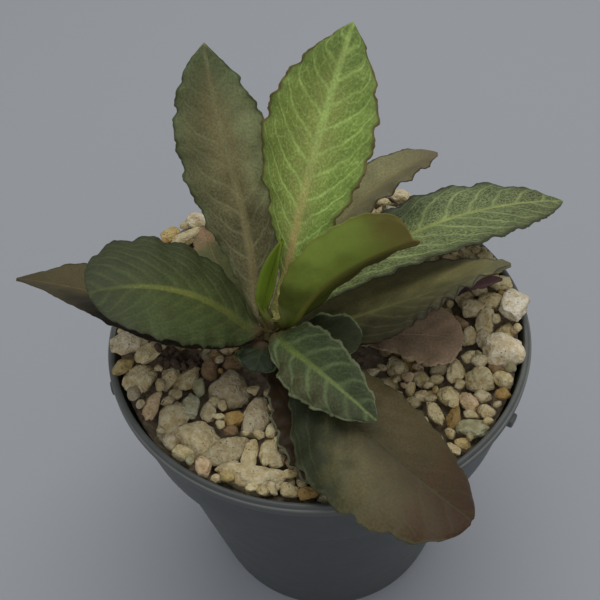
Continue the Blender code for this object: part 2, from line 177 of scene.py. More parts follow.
LEAVES = {
    "upright": Leaf(49, -10, (72, 64), (-41, 49), 59.5, 21.8, 87.8, 72, (12, 5), (1.5, 0.95), (0.5, 0.3), 7,
                    stalk=1.8, scallop=0.45),
    "rear_left": Leaf(84, 51, (35, 91), (-9, -50), 59.4, 19.8, 85.1, 120, (16, 5), (1.45, 0.9),
                      (0.6, 0.4), 6, scallop=0.4),
    "spoon": Leaf(-24, 15, (75, 28), (-58, -73), 37.0, 16.5, 88.8, -10, (26, 26), (0.55, 0.22),
                  (0.3, 0.2), 4, scallop=0.2, teeth=0.15),
    "spindle": Leaf(57, -20, (57, 66), (21, 19), 17.4, 5.6, 88.6, 125, (50, 50), (0.8, 0.9), (0.0, 0.0), 2,
                    neck=0.22, stalk=0.9, teeth=0.0, puff=0.0, scallop=0.0),
    "right": Leaf(41, -33, (19, -11), (-19, -8), 71.5, 24.5, 85.6, 38, (12, -5), (1.3, 0.85),
                  (0.45, 0.3), 9, scallop=0.3),
    "rear_right": Leaf(56, -30, (46, 0), (-31, -8), 54, 14.5, 83.0, 72, (18, 12), (1.3, 0.7), (0.1, 0.6), 8,
                       scallop=0.2),
    "left": Leaf(177, 28, (69, 7), (-13, 2), 37, 26, 86.5, 185, (10, -4), (0.85, 0.42), (0.2, 0.4), 5,
                 scallop=0.45),
    "far_left": Leaf(172, 10, (33, 18), (-16, 30), 49, 22, 82.0, 172, (10, 10), (1.2, 0.9), (0.1, 0.3), 6,
                     scallop=0.2),
    "rear_small": Leaf(127, -23, (19, 8), (0, -7), 32, 9, 81.0, 131, (10, 10), (1.2, 0.7), (0.3, 0.3), 4),
    "front": Leaf(-54, 5, (19, -6), (26, 32), 30, 13.5, 87.4, -70, (16, 2), (0.5, 0.75), (0.3, 0.8), 5,
                  neck=0.2, scallop=0.3, slim=0.45),
    "lobe": Leaf(-99, -11, (10, -9), (3, -4), 7.5, 8.8, 84.8, -122, (10, 0), (0.6, 0.45), (0.4, 0.4), 2,
                 neck=0.35, stalk=0.9, scallop=0.25),
    "dark": Leaf(-24, -3, (41, -1), (8, 5), 17.5, 10.5, 85.3, -30, (10, 10), (0.8, 0.45), (0.4, 0.4), 3,
                 scallop=0.2),
    "drooping": Leaf(-62, 22, (16, -12), (19, -19), 51, 26, 82.9, -66, (-4, -22), (0.72, 0.46),
                     (0.2, 0.5), 7, scallop=0.4, slim=0.8),
    "under_front": Leaf(-63, -14, (0, -1), (0, 1), 29.5, 9.5, 79.0, -96, (8, 0), (1.0, 0.6), (0.4, 0.7), 6,
                        scallop=0.55),
    "olive": Leaf(10, -22, (11, 36), (1, -37), 47, 28, 82.2, 12, (8, 4), (0.9, 0.64), (0.2, 0.7), 12,
                  scallop=0.3, slim=0.35, calm=0.5),
    "red": Leaf(21, -35, (5, -6), (-7, 2), 36, 15.5, 80.2, -14, (5, 0), (2.8, 0.6), (0.2, 0.3), 5,
                teeth=0.8, scallop=0.6),
    "under_right": Leaf(25, -27, (11, 0), (0, -9), 48, 9.5, 80.4, 34, (5, 0), (1.2, 0.8), (0.2, 0.4), 6),
}


@dataclass
class Look:
    """Colours of one leaf, and how strongly each kind of marking shows."""
    # On some leaves the two halves' colours also paint one half lit and the other in shade.
    halves: tuple                 # left and right half, seen from the stem
    centre: str                   # zone along the midrib
    tip: str
    # On several leaves the base's colour is darker than the blade: painted shade where the leaves crowd
    # round the stem.
    base: str                     # blade next to the stalk
    vein: str
    rib: tuple                    # midrib near the stalk and further out
    margin: str
    slot: str
    tip_from: float = 0.75        # share of the length at which the tip's colour starts
    base_to: float = 0.2          # and at which the base's colour starts to give way
    net: float = 0.5              # small veins, the coarse and the fine ones
    lace: float = 0.05
    veins: float = 0.6            # side veins
    spacing: float = 4.4          # millimetres from one side vein to the next
    loops: float = 0.6            # how far they bend back near the margin, in spacings
    vein_width: float = 0.8
    rib_width: float = 0.8
    rib_to: float = 1.2           # share of the length at which the midrib has faded
    edge: float = 0.5             # hem in the margin's colour
    hem: float = 0.96             # and the share of the half-width at which it starts
    border: float = 0.0           # band of the tip's colour inside the hem
    grain: float = 0.2            # unevenness from cell to cell
    base_lean: float = 0.0        # how far the base's colour runs on in the right half
    pale_below: bool = True       # whether the underside is paler


LOOKS = {
    "upright": Look(("#98A950", "#91AC50"), "#B8C06A", "#7E944A", "#555926", "#CDE880",
        ("#E4C37F", "#CAE37F"), "#725C38", slot="leaf_young",
        net=0.5, lace=0.2, veins=0.95, spacing=4.7, vein_width=0.8, rib_width=1.8, edge=0.8, border=0.6,
        grain=0.2),
    "rear_left": Look(("#828058", "#A6AB78"), "#A39567", "#707C53", "#645E3D", "#ACA979",
        ("#94865B", "#A6A171"), "#52573B", slot="leaf_grey_green",
        net=0.25, lace=0.22, veins=0.45, spacing=4.8, rib_width=1.5, edge=0.7, border=0.6, base_to=0.52,
        tip_from=0.8),
    # The spoon's dark brown left half is partly its reddish underside and partly painted shade on the half
    # that faces down.
    "spoon": Look(("#534B22", "#9AAE48"), "#788730", "#7B6F35", "#535B1F", "#8D9D3F",
        ("#76742E", "#736A2E"), "#7D6235", slot="leaf_young",
        net=0.0, veins=0.0, rib_width=0.7, edge=0.25, grain=0.04, tip_from=0.75, base_to=0.4,
        pale_below=False),
    # The spindle's slightly darker right half is painted shade on its inner face.
    "spindle": Look(("#7D932D", "#6D8226"), "#788C2A", "#788C2A", "#57651D", "#7D9334",
        ("#788A2D", "#788A2D"), "#6D7D2A", slot="leaf_young",
        net=0.0, veins=0.0, rib_width=0.4, edge=0.2, grain=0.04, pale_below=False),
    "right": Look(("#505D3E", "#525D38"), "#647143", "#464C31", "#4D562B", "#A6B473",
        ("#A6B15F", "#9AA561"), "#3A3B27", slot="leaf_grey_green",
        net=0.45, lace=0.7, edge=0.8, hem=0.945, veins=0.9, spacing=6.0, vein_width=1.05,
        rib_width=1.25, border=0.6, tip_from=0.6),
    "rear_right": Look(("#858259", "#6B6546"), "#837D54", "#72674B", "#5F5B3D", "#8C8660",
        ("#857F57", "#8A825B"), "#42372A", slot="leaf_bronze",
        net=0.1, veins=0.15, rib_width=0.5, edge=0.8, tip_from=0.85),
    "left": Look(("#4A5431", "#3D4427"), "#49532D", "#3A4129", "#444D2B", "#5B6439",
        ("#656A35", "#7C813E"), "#383B27", slot="leaf_green",
        net=0.3, lace=0.1, veins=0.65, spacing=3.6, loops=0.8, vein_width=0.95, rib_width=1.45,
        rib_to=0.95, border=0.3),
    "far_left": Look(("#342E1C", "#5F5635"), "#5B5231", "#4D452A", "#3B331E", "#6A603B",
        ("#6D643C", "#6D643C"), "#362C1A", slot="leaf_bronze",
        net=0.1, veins=0.2, rib_width=0.6),
    "rear_small": Look(("#5C6134", "#5C5E34"), "#5F6134", "#9E7B5E", "#50522A", "#696B3E",
        ("#696B3E", "#776B42"), "#70633C", slot="leaf_bronze",
        net=0.1, veins=0.2, rib_width=0.5, tip_from=0.8),
    "front": Look(("#434F31", "#4D4C30"), "#4D5935", "#40472F", "#404C28", "#728354",
        ("#6F7F3B", "#7F8D54"), "#747B58", slot="leaf_green",
        net=0.28, lace=0.12, veins=0.75, spacing=5.0, loops=0.25, vein_width=1.15, rib_width=0.95,
        edge=0.8, hem=0.94, border=0.3, tip_from=0.5),
    "lobe": Look(("#1C2411", "#1C2411"), "#1D2711", "#1C2411", "#202B11", "#324022",
        ("#323F1E", "#28321A"), "#445231", slot="leaf_green",
        net=0.35, lace=0.2, veins=0.6, spacing=2.6, rib_width=0.6, edge=0.9, hem=0.9),
    "dark": Look(("#363B22", "#363B22"), "#363B22", "#363B22", "#34371D", "#444A2D",
        ("#444A2B", "#41482B"), "#70794D", slot="leaf_green",
        net=0.25, veins=0.35, spacing=3.6, rib_width=0.5, edge=0.9, hem=0.92),
    "drooping": Look(("#5F5336", "#706945"), "#4D452B", "#44301E", "#293018", "#585638",
        ("#4D4C2F", "#49432A"), "#535238", slot="leaf_bronze",
        net=0.08, veins=0.3, spacing=5.4, rib_width=0.7, base_to=0.42, base_lean=0.3, tip_from=0.6),
    "under_front": Look(("#362814", "#362814"), "#362614", "#3D2C17", "#302211", "#402E19",
        ("#402E19", "#402E19"), "#6B6D53", slot="leaf_bronze",
        net=0.1, veins=0.2, rib_width=0.5, edge=0.9, hem=0.93),
    # The olive leaf's pale left half and lighter base are painted light, which lifts the part of the blade
    # lying in the right leaf's shadow.
    "olive": Look(("#827C4F", "#4D4A2E"), "#575534", "#706C44", "#3E3C25", "#6E6C44",
        ("#6E6E3B", "#666440"), "#392E20", slot="leaf_bronze",
        net=0.2, veins=0.5, spacing=5.0, vein_width=1.0, rib_width=0.9, edge=0.8, base_to=0.36,
        base_lean=0.5),
    "red": Look(("#968066", "#968066"), "#927C62", "#A1876D", "#3E372C", "#A58E70",
        ("#9E876D", "#A58E74"), "#B89A7B", slot="leaf_red",
        net=0.1, veins=0.12, rib_width=0.5, base_to=0.5),
    "under_right": Look(("#493734", "#463433"), "#493734", "#553938", "#362625", "#513C3B",
        ("#513C3B", "#513C3B"), "#402C2B", slot="leaf_bronze",
        net=0.1, veins=0.12, rib_width=0.5, base_to=0.4),
}

STONE_TONES = {
    "pale": "#F4E7C4", "cream": "#E2D4AB", "beige": "#D2C39B", "sand": "#A99C7B", "grey": "#C3B697",
    "pink": "#DAC19D", "yellow": "#CEB981", "orange": "#B2935A", "brown": "#9E8464", "white": "#FFF6DC",
    "green": "#BBB99A", "peat": "#5E4B40",
}
# Stones that show in the photograph: x, y, length, width, turn, tone, and for one that lies on others
# the height of its centre.
SHOWN_STONES = [
    (-24.0, -27.5, 11.0, 7.7, -17, "cream"), (-18.5, -30.5, 9.5, 4.8, 26, "grey"),
    (-18.5, -15.5, 8.5, 8.0, -5, "grey"), (-13.0, -22.5, 9.0, 5.1, 74, "grey"),
    (-13.5, -36.5, 11.5, 5.4, -12, "cream"), (-30.0, -23.0, 8.5, 5.5, 68, "cream"),
    (-34.0, -19.5, 6.5, 3.2, 69, "pink"), (-37.0, -13.5, 6.8, 6.0, 36, "cream"),
    (-40.5, -11.0, 4.8, 3.7, 23, "yellow", 80.6), (-27.5, -13.0, 7.4, 4.1, 68, "beige"),
    (-26.5, -19.5, 4.9, 3.8, 95, "green"), (-25.0, -15.0, 3.9, 2.5, 86, "green"),
    (-17.5, -23.0, 4.4, 3.9, -3, "orange"), (-22.5, -21.0, 4.5, 3.6, 76, "beige"),
    (-21.5, -19.0, 2.6, 2.4, 0, "beige"), (-14.0, -31.0, 7.2, 2.8, 82, "beige"),
    (-10.5, -31.0, 6.0, 3.2, 77, "cream"), (-9.0, -32.5, 3.6, 3.2, 0, "grey"),
    (-18.0, -34.0, 4.8, 2.6, 20, "grey"), (-6.5, -39.5, 3.5, 2.7, -14, "beige"),
    (-31.0, -12.5, 6.0, 3.5, 69, "beige"), (-23.0, -10.5, 4.7, 3.1, 94, "brown"),
    (-18.0, -9.0, 4.0, 3.6, 0, "brown"), (-37.5, -17.5, 3.8, 2.4, 89, "grey"),
    # The pale tone of the stone at (-39.5, -5.8) is painted light: it lifts a stone that lies in the left
    # leaf's shade.
    (-39.5, -5.8, 7.2, 5.4, 15, "pale", 81.8), (-34.6, -8.0, 7.0, 3.8, 43, "cream", 81.2),
    (-40.0, 0.5, 4.6, 4.0, 80, "pink", 81.0), (-3.0, -40.5, 4.0, 2.5, 0, "orange"),
    (37.8, -11.0, 8.0, 7.6, -5, "pale", 79.4), (32.0, -17.0, 5.3, 4.8, 0, "cream"),
    (28.0, -14.0, 5.9, 3.5, 73, "cream"), (25.5, -20.0, 4.3, 4.0, 0, "cream"),
    (29.0, -22.0, 4.3, 3.1, -74, "pink"), (25.5, -25.5, 5.4, 2.7, 72, "orange"),
    (35.6, -21.6, 3.1, 2.8, 0, "orange"), (36.5, -18.0, 3.7, 3.6, 0, "cream"),
    (32.0, -21.0, 3.5, 3.0, 0, "cream"), (28.5, -28.5, 5.7, 3.8, 8, "green"),
    (29.0, -25.0, 3.0, 2.3, -28, "cream"), (32.0, -25.0, 3.5, 3.4, 0, "beige"),
    (22.0, -24.0, 5.3, 2.7, -57, "cream"), (20.0, -20.0, 3.2, 2.4, 0, "beige"),
    (18.0, -18.0, 3.4, 1.8, 75, "cream"), (41.8, -1.5, 8.4, 5.2, 67, "white", 82.0),
    (36.2, -14.6, 4.8, 3.2, -43, "brown", 77.4), (31.0, -11.5, 3.1, 2.3, 20, "cream"),
    (35.5, -3.5, 7.1, 3.6, 72, "grey", 79.6), (33.6, 0.6, 4.6, 4.2, 0, "beige", 79.6),
    (26.0, -32.0, 2.8, 2.3, 0, "yellow"), (40.3, 6.0, 5.2, 3.9, -19, "cream", 81.2),
    (37.5, 1.6, 4.6, 4.1, 0, "beige", 80.4), (32.8, 4.6, 4.0, 3.3, 22, "beige"),
    (36.0, 5.6, 3.6, 3.3, 0, "cream", 80.0), (39.6, -6.0, 3.8, 3.4, 40, "beige", 79.2),
    (-27.0, 30.5, 6.4, 4.9, -5, "pale", 82.6), (-30.3, 24.9, 8.6, 4.2, 45, "cream", 82.2),
    (-34.0, 26.5, 4.9, 3.6, 40, "yellow", 82.0), (-22.5, 28.0, 5.4, 4.2, 20, "beige", 81.6),
    (22.0, 36.0, 5.6, 4.0, -15, "cream", 82.6), (10.5, 9.0, 3.6, 2.7, 85, "brown"),
    (9.0, 7.0, 2.4, 2.2, 0, "beige"), (23.5, -16.0, 3.0, 2.4, 0, "beige"),
    (35.2, -7.6, 4.8, 3.8, 20, "grey", 79.0), (32.0, -6.6, 4.4, 3.6, 60, "beige", 78.8),
    (30.6, -2.8, 4.2, 3.4, 100, "brown", 78.6), (24.8, -12.6, 4.6, 3.4, 30, "grey"),
    (20.6, -15.4, 4.0, 3.2, 120, "beige"), (17.6, -21.4, 3.8, 3.0, 40, "grey"),
]
# Loose stones between them: how many of each tone in a lot, and the tries at each half-length.
LOOSE_TONES = {"cream": 8, "beige": 8, "grey": 4, "pink": 2, "yellow": 1, "green": 1, "brown": 1,
               "orange": 1}
LOOSE_STONES = [(3.2, 120), (2.6, 340), (2.1, 620), (1.7, 760), (1.35, 560), (1.0, 160)]
PLACES_TRIED = 12                     # places looked at for each stone, of which it takes the lowest
PEAT_CLUMP = (-29.0, -8.5, 4.2)       # crumbs of compost that lie on the stones: x, y, radius
PEAT_CRUMBS = 46
# Bare compost behind the stem and under the lowest leaves: x, y, radius.
BARE_PATCHES = [(-8.7, 12.0, 5.5), (-8.4, 19.5, 3.0), (-9.3, 27.0, 2.5), (8.5, -6.0, 3.5),
                (11.5, -9.0, 3.0)]
# Pumice pieces: name, fineness of the ball, half-lengths from and to, kinds of stone.
STONE_GRADES = [("large", 4, 2.4, 99.0, 40), ("middling", 3, 1.2, 2.4, 30), ("small", 2, 0.0, 1.2, 12)]


def linear(hexadecimal):
    """Linear red, green, blue and alpha from an sRGB hex value."""
    parts = [int(hexadecimal[place:place + 2], 16) / 255.0 for place in (1, 3, 5)]
    return (*[part / 12.92 if part <= 0.04045 else ((part + 0.055) / 1.055) ** 2.4 for part in parts], 1.0)


def add(tree, kind, *values, named=None, **settings):
    """Adds a node with its settings. A value is plain, a hex colour, a socket or a node's first output."""
    made = tree.nodes.new(kind)
    for key, value in settings.items():
        setattr(made, key, value)
    for key, value in [*enumerate(values), *(named or {}).items()]:
        if isinstance(value, str) and value.startswith("#"):
            value = linear(value)
        if isinstance(value, bpy.types.Node):
            value = next(socket for socket in value.outputs if socket.enabled)
        if isinstance(value, bpy.types.NodeSocket):
            tree.links.new(value, made.inputs[key])
        elif value is not None:
            made.inputs[key].default_value = value
    return made


def new_finish(name, roughness):
    """An empty material: its node tree and its shader."""
    material = bpy.data.materials.new(name)
    material.use_nodes = True
    tree = material.node_tree
    shader = tree.nodes["Principled BSDF"]
    shader.inputs["Roughness"].default_value = roughness
    return material, tree, shader


def join(tree, shader, body, bump, gloss=None):
    """Links a finish's colour and relief, and its roughness where that varies, to the shader."""
    tree.links.new(body.outputs["Result"], shader.inputs["Base Color"])
    tree.links.new(bump.outputs["Normal"], shader.inputs["Normal"])
    if gloss:
        tree.links.new(gloss.outputs["Result"], shader.inputs["Roughness"])


def smooth(value):
    value = np.clip(value, 0.0, 1.0)
    return value * value * (3.0 - 2.0 * value)


def mesh_piece(name, corners, faces, smoothed=True):
    """A mesh object from corners in millimetres."""
    mesh = bpy.data.meshes.new(name)
    mesh.from_pydata((np.asarray(corners) * MM).tolist(), [], [tuple(face) for face in faces])
    mesh.update()
    if smoothed:
        mesh.shade_smooth()
    thing = bpy.data.objects.new(name, mesh)
    bpy.context.scene.collection.objects.link(thing)
    return thing


def evaluated_copy(thing, name):
    """The object's modified mesh as a plain object of its own; the first one is removed."""
    graph = bpy.context.evaluated_depsgraph_get()
    mesh = bpy.data.meshes.new_from_object(thing.evaluated_get(graph))
    mesh.name = name
    bpy.data.objects.remove(thing, do_unlink=True)
    plain = bpy.data.objects.new(name, mesh)
    bpy.context.scene.collection.objects.link(plain)
    return plain


def closed_sheet(upper):
    """Faces of a closed sheet: a grid of corners above, the same grid below, and a wall round them."""
    under = upper + upper.size
    top = np.stack([upper[:-1, :-1], upper[1:, :-1], upper[1:, 1:], upper[:-1, 1:]], -1)
    back = np.stack([under[:-1, 1:], under[1:, 1:], under[1:, :-1], under[:-1, :-1]], -1)
    ring = np.concatenate([upper[:, 0], upper[-1, 1:], upper[-2::-1, -1], upper[0, -2:0:-1]])
    after = np.roll(ring, -1)
    wall = np.stack([ring + upper.size, after + upper.size, after, ring], -1)
    return np.concatenate([top.reshape(-1, 4), back.reshape(-1, 4), wall])


def built(build, name):
    """An object made from a bmesh, which is then freed."""
    mesh = bpy.data.meshes.new(name)
    build.to_mesh(mesh)
    build.free()
    return bpy.data.objects.new(name, mesh)


# Leaves

def stem_radius(height):
    return STEM_RADIUS - STEM_TAPER * max(0.0, height - STEM_STRAIGHT_Z)


def midrib(spec, along):
    """Points and frames along a leaf's midrib: position, side direction and blade normal."""
    fine = np.linspace(0.0, 1.0, 161)
    free = smooth(fine / spec.neck)
    heading = np.radians(spec.seat * (1.0 - free) + (spec.heading + spec.turn * fine) * free)
    rise = spec.rise[0] + (spec.rise[1] - spec.rise[0]) * fine
    rise = np.radians(START_RISE * (1.0 - free) + rise * free)
    roll = np.radians((spec.roll[0] + (spec.roll[1] - spec.roll[0]) * fine) * free)
    ahead = np.stack([np.cos(rise) * np.cos(heading), np.cos(rise) * np.sin(heading), np.sin(rise)], 1)
    level = np.stack([-np.sin(heading), np.cos(heading), np.zeros_like(heading)], 1)
    above = np.cross(ahead, level)
    side = level * np.cos(roll)[:, None] + above * np.sin(roll)[:, None]
    normal = above * np.cos(roll)[:, None] - level * np.sin(roll)[:, None]
    seat = math.radians(spec.seat)
    reach = stem_radius(spec.height)
    foot = np.array([STEM_X + reach * math.cos(seat), STEM_Y + reach * math.sin(seat), spec.height])
    steps = (ahead[1:] + ahead[:-1]) / 2.0 * spec.length / (len(fine) - 1)
    points = np.concatenate([[foot], foot + np.cumsum(steps, 0)])
    return [np.stack([np.interp(along, fine, row[:, axis]) for axis in range(3)], 1)
            for row in (points, side, normal)]


def half_width(spec, along):
    """Half the width of a leaf along its midrib: a stalk that runs into the blade's own outline."""
    rising, falling = spec.outline
    peak = rising / (rising + falling)
    shape = (along / peak) ** rising * ((1.0 - along) / (1.0 - peak)) ** falling
    stalk = spec.stalk * (1.0 - smooth(along / 0.5)) * (1.0 - along)
    return np.sqrt((spec.width / 2.0 * shape) ** 2 + stalk ** 2)


def vein_count(along, across, spacing):
    """Count of side veins up to a place of the blade in millimetres; each lies half way between counts."""
    away = np.abs(across)
    return (along - VEIN_LEAN * away - VEIN_BEND * away ** 2) / spacing + np.where(across > 0.0, 0.5, 0.0)


def leaf_surface(spec, along, across, spacing):
    """Middle surface of a blade and its places in millimetres along and across."""
    points, side, normal = midrib(spec, along)
    sign = np.sign(across)[None, :]
    away = np.abs(across)[None, :]
    run = (along * spec.length)[:, None]
    grown = smooth(along / 0.25)[:, None]
    closing = smooth((1.0 - along) / 0.1)[:, None]
    # Outline: uneven scallops with small teeth on them.
    phase = spec.length + spec.width
    scallop = 0.6 * np.sin(run * 1.17 + 2.0 * sign + phase) + 0.4 * np.sin(run * 2.21 + 5.0 * sign - phase)
    notch = np.abs(np.mod(run / TOOTH_PITCH + 0.3 * np.sin(run * 0.9 + sign), 1.0) - 0.35) / 0.65
    teeth = spec.teeth * (0.6 + 0.4 * np.sin(run * 1.7)) * (1.0 - notch) * (away > 0.985)
    width = half_width(spec, along)[:, None]
    width = width * (1.0 - spec.slim * (sign < 0) * (1.0 - smooth(along / 0.5)[:, None]))
    width = width + (spec.scallop * scallop + teeth) * grown * closing
    fold = np.radians(spec.fold[0] + (spec.fold[1] - spec.fold[0]) * away / 2.0)
    outward = away * np.cos(fold) * width * sign
    upward = away * np.sin(fold) * width
    # Waves that grow towards the margin, and the puffed skin between the veins.
    share = np.minimum(1.0, width / (0.35 * spec.width)) * grown
    left = np.sin(math.tau * spec.waves * along)[:, None]
    right = np.sin(math.tau * (spec.waves * 1.17 * along + 0.37))[:, None]
    crisp = np.sin(math.tau * (spec.waves * 3.3 * along[:, None] + 0.2 * sign))
    wave = away ** 3 * np.where(sign > 0, left, right) + 0.2 * away ** 5 * crisp
    stirred = smooth((along - spec.calm) / 0.25)[:, None] if spec.calm else 1.0
    upward = upward + np.where(sign > 0, *spec.ruffle) * share * stirred * wave
    across_mm = away * sign * width
    puff = 0.5 - 0.5 * np.cos(math.tau * (vein_count(run, across_mm, spacing) + 0.5))
    upward = upward + spec.puff * (puff - 0.5) * share * smooth(away / 0.2) * smooth((1.0 - away) / 0.2)
    place = points[:, None] + outward[..., None] * side[:, None] + upward[..., None] * normal[:, None]
    return place, run + 0.0 * away, across_mm


def make_leaf(name, spec, tones):
    """A closed blade with a rib underneath, its maps of places and its own finish."""
    rows = int(spec.length * 2.6) + 20
    half = int(spec.width * 0.85) + 7
    along = 0.9993 * (1.0 - (1.0 - np.linspace(0.0, 1.0, rows)) ** 1.2)
    spread = np.linspace(-1.0, 1.0, 2 * half + 1)
    across = np.sign(spread) * (1.0 - (1.0 - np.abs(spread)) ** 1.15)
    columns = len(across)
    middle, along_mm, across_mm = leaf_surface(spec, along, across, tones.spacing)
    normal = np.cross(np.gradient(middle, axis=0), np.gradient(middle, axis=1))
    normal /= np.maximum(np.linalg.norm(normal, axis=2, keepdims=True), 1e-9)
    away = np.abs(across)[None, :]
    stalk = STALK_EXTRA * (1.0 - smooth(along / 0.22))[:, None] * (1.0 - 0.8 * away ** 2)
    thick = BLADE * (1.0 - 0.7 * smooth((away - 0.75) / 0.25)) + stalk
    rib = 0.55 * np.exp(-(across_mm / 0.7) ** 2) * (1.0 - 0.8 * along[:, None])
    top = middle + normal * (thick / 2.0)[..., None]
    under = middle - normal * (thick / 2.0 + rib)[..., None]
    sink = top[0] - top[1]
    sink = sink / np.linalg.norm(sink, axis=1, keepdims=True) * ROOT_SINK
    top[0] += sink
    under[0] += sink
    corners = np.concatenate([top.reshape(-1, 3), under.reshape(-1, 3)])
    faces = closed_sheet(np.arange(rows * columns).reshape(rows, columns))
    piece = mesh_piece("euphorbia_leaf_" + name, corners, faces)
    mesh = piece.data
    shares = np.zeros((2 * rows * columns, 3))
    shares[:, 0] = np.tile(np.repeat(along, columns), 2)
    shares[:, 1] = np.tile(np.tile(across, rows), 2)
    shares[rows * columns:, 2] = 1.0
    mesh.attributes.new("shares", "FLOAT_VECTOR", "POINT").data.foreach_set("vector", shares.ravel())
    places = np.stack([np.tile(along_mm.ravel(), 2),
                       np.tile(across_mm.ravel(), 2) + MAP_SIZE / 2.0], 1) / MAP_SIZE
    loops = np.zeros(len(mesh.loops), dtype=np.int32)
    mesh.loops.foreach_get("vertex_index", loops)
    mesh.uv_layers.new(name="blade").data.foreach_set("uv", places[loops].ravel())
    mesh.materials.append(leaf_finish(name, tones))
    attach(piece, "root")
    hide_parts("leaf_" + name)
    return corners


def blade_places(tree):
    """Where a spot of a leaf lies, in millimetres and in shares, and three clouds that follow the blade."""
    # The map is turned back to millimetres, so every pattern scale is in cells per millimetre.
    place = add(tree, "ShaderNodeSeparateXYZ", add(tree, "ShaderNodeUVMap", uv_map="blade"))
    along = add(tree, "ShaderNodeMath", place.outputs["X"], MAP_SIZE, operation="MULTIPLY")
    across = add(tree, "ShaderNodeMath", place.outputs["Y"], MAP_SIZE, -MAP_SIZE / 2.0,
                 operation="MULTIPLY_ADD")
    shares = add(tree, "ShaderNodeAttribute", attribute_name="shares")
    share = add(tree, "ShaderNodeSeparateXYZ", shares.outputs["Vector"])
    flat = add(tree, "ShaderNodeCombineXYZ", along, across, share.outputs["Z"])
    mottle, stipple, wander = [
        add(tree, "ShaderNodeTexNoise", named={"Vector": flat, "Scale": scale, "Detail": detail})
        for scale, detail in ((0.2, 5.0), (2.0, 2.0), (0.3, 1.0))]
    return SimpleNamespace(
        along=along, length=share.outputs["X"], side=share.outputs["Y"], below=share.outputs["Z"],
        left=add(tree, "ShaderNodeMath", across, 0.0, operation="GREATER_THAN"),
        out=add(tree, "ShaderNodeMath", across, operation="ABSOLUTE"),
        edge=add(tree, "ShaderNodeMath", share.outputs["Y"], operation="ABSOLUTE"),
        mottle=mottle, stipple=stipple, wander=wander)


def thin_veins(tree, tones, spot):
    """Side veins, at the same count as the puffs of the mesh, with a net of small veins between them."""
    # The side veins run together in loops near the margin.
    shift = add(tree, "ShaderNodeMath", spot.left, 0.5, operation="MULTIPLY")
    loop = add(tree, "ShaderNodeMapRange", spot.edge, 0.62, 1.05, 0.0, tones.spacing * tones.loops,
               interpolation_type="SMOOTHSTEP")
    ahead = add(tree, "ShaderNodeMath", spot.out, -VEIN_LEAN, spot.along, operation="MULTIPLY_ADD")
    square = add(tree, "ShaderNodeMath", spot.out, spot.out, operation="MULTIPLY")
    ahead = add(tree, "ShaderNodeMath", square, -VEIN_BEND, ahead, operation="MULTIPLY_ADD")
    ahead = add(tree, "ShaderNodeMath", ahead, loop, operation="SUBTRACT")
    count = add(tree, "ShaderNodeMath", ahead, 1.0 / tones.spacing, shift, operation="MULTIPLY_ADD")
    count = add(tree, "ShaderNodeMath", spot.wander, 0.5, count, operation="MULTIPLY_ADD")
    part = add(tree, "ShaderNodeMath", count, operation="FRACT")
    part = add(tree, "ShaderNodeMath", part, 0.75, operation="SUBTRACT")
    part = add(tree, "ShaderNodeMath", part, operation="ABSOLUTE")
    gap = add(tree, "ShaderNodeMath", part, tones.spacing * 0.8, operation="MULTIPLY")
    reach = add(tree, "ShaderNodeMath", spot.edge, -0.4 * tones.vein_width, tones.vein_width,
                operation="MULTIPLY_ADD")
    side = add(tree, "ShaderNodeMapRange", gap, 0.0, reach, 1.0, 0.0, interpolation_type="SMOOTHSTEP")
    faint = add(tree, "ShaderNodeMapRange", spot.mottle, 0.3, 0.6, tones.veins * 0.7, tones.veins)
    side = add(tree, "ShaderNodeMath", side, faint, operation="MULTIPLY")
    # The net has two sizes of cell, drawn out along the side veins.
    cell = add(tree, "ShaderNodeCombineXYZ", ahead, spot.out, shift)
    cell = add(tree, "ShaderNodeVectorMath", cell, spot.wander.outputs["Color"], operation="ADD")
    nets = []
    for scale, breadth, strength in ((0.5, 0.13, tones.net), (1.25, 0.22, tones.lace)):
        border = add(tree, "ShaderNodeTexVoronoi", named={"Vector": cell, "Scale": scale},
                     feature="DISTANCE_TO_EDGE")
        nets.append(add(tree, "ShaderNodeMapRange", border, 0.0, breadth, strength, 0.0,
                        interpolation_type="SMOOTHSTEP"))
    net = add(tree, "ShaderNodeMath", *nets, operation="MAXIMUM")
    broken = add(tree, "ShaderNodeMapRange", spot.stipple, 0.3, 0.6, 0.45, 1.0)
    net = add(tree, "ShaderNodeMath", net, broken, operation="MULTIPLY")
    thin = add(tree, "ShaderNodeMath", side, net, operation="MAXIMUM")
    paler = add(tree, "ShaderNodeMapRange", spot.length, 0.5, 1.0, 1.0, 0.6)
    return add(tree, "ShaderNodeMath", thin, paler, operation="MULTIPLY")


def midrib_line(tree, tones, spot):
    """The midrib, which narrows and fades towards the tip and starts out of the stalk."""
    girth = add(tree, "ShaderNodeMath", spot.length, -0.7 * tones.rib_width, tones.rib_width,
                operation="MULTIPLY_ADD")
    ratio = add(tree, "ShaderNodeMath", spot.out, girth, operation="DIVIDE")
    rib = add(tree, "ShaderNodeMapRange", ratio, 0.35, 1.3, 1.0, 0.0, interpolation_type="SMOOTHSTEP")
    fade = add(tree, "ShaderNodeMapRange", spot.length, tones.rib_to - 0.35, tones.rib_to, 0.9, 0.15)
    rib = add(tree, "ShaderNodeMath", rib, fade, operation="MULTIPLY")
    start = add(tree, "ShaderNodeMapRange", spot.length, 0.04, 0.24, 0.3, 1.0)
    return add(tree, "ShaderNodeMath", rib, start, operation="MULTIPLY")


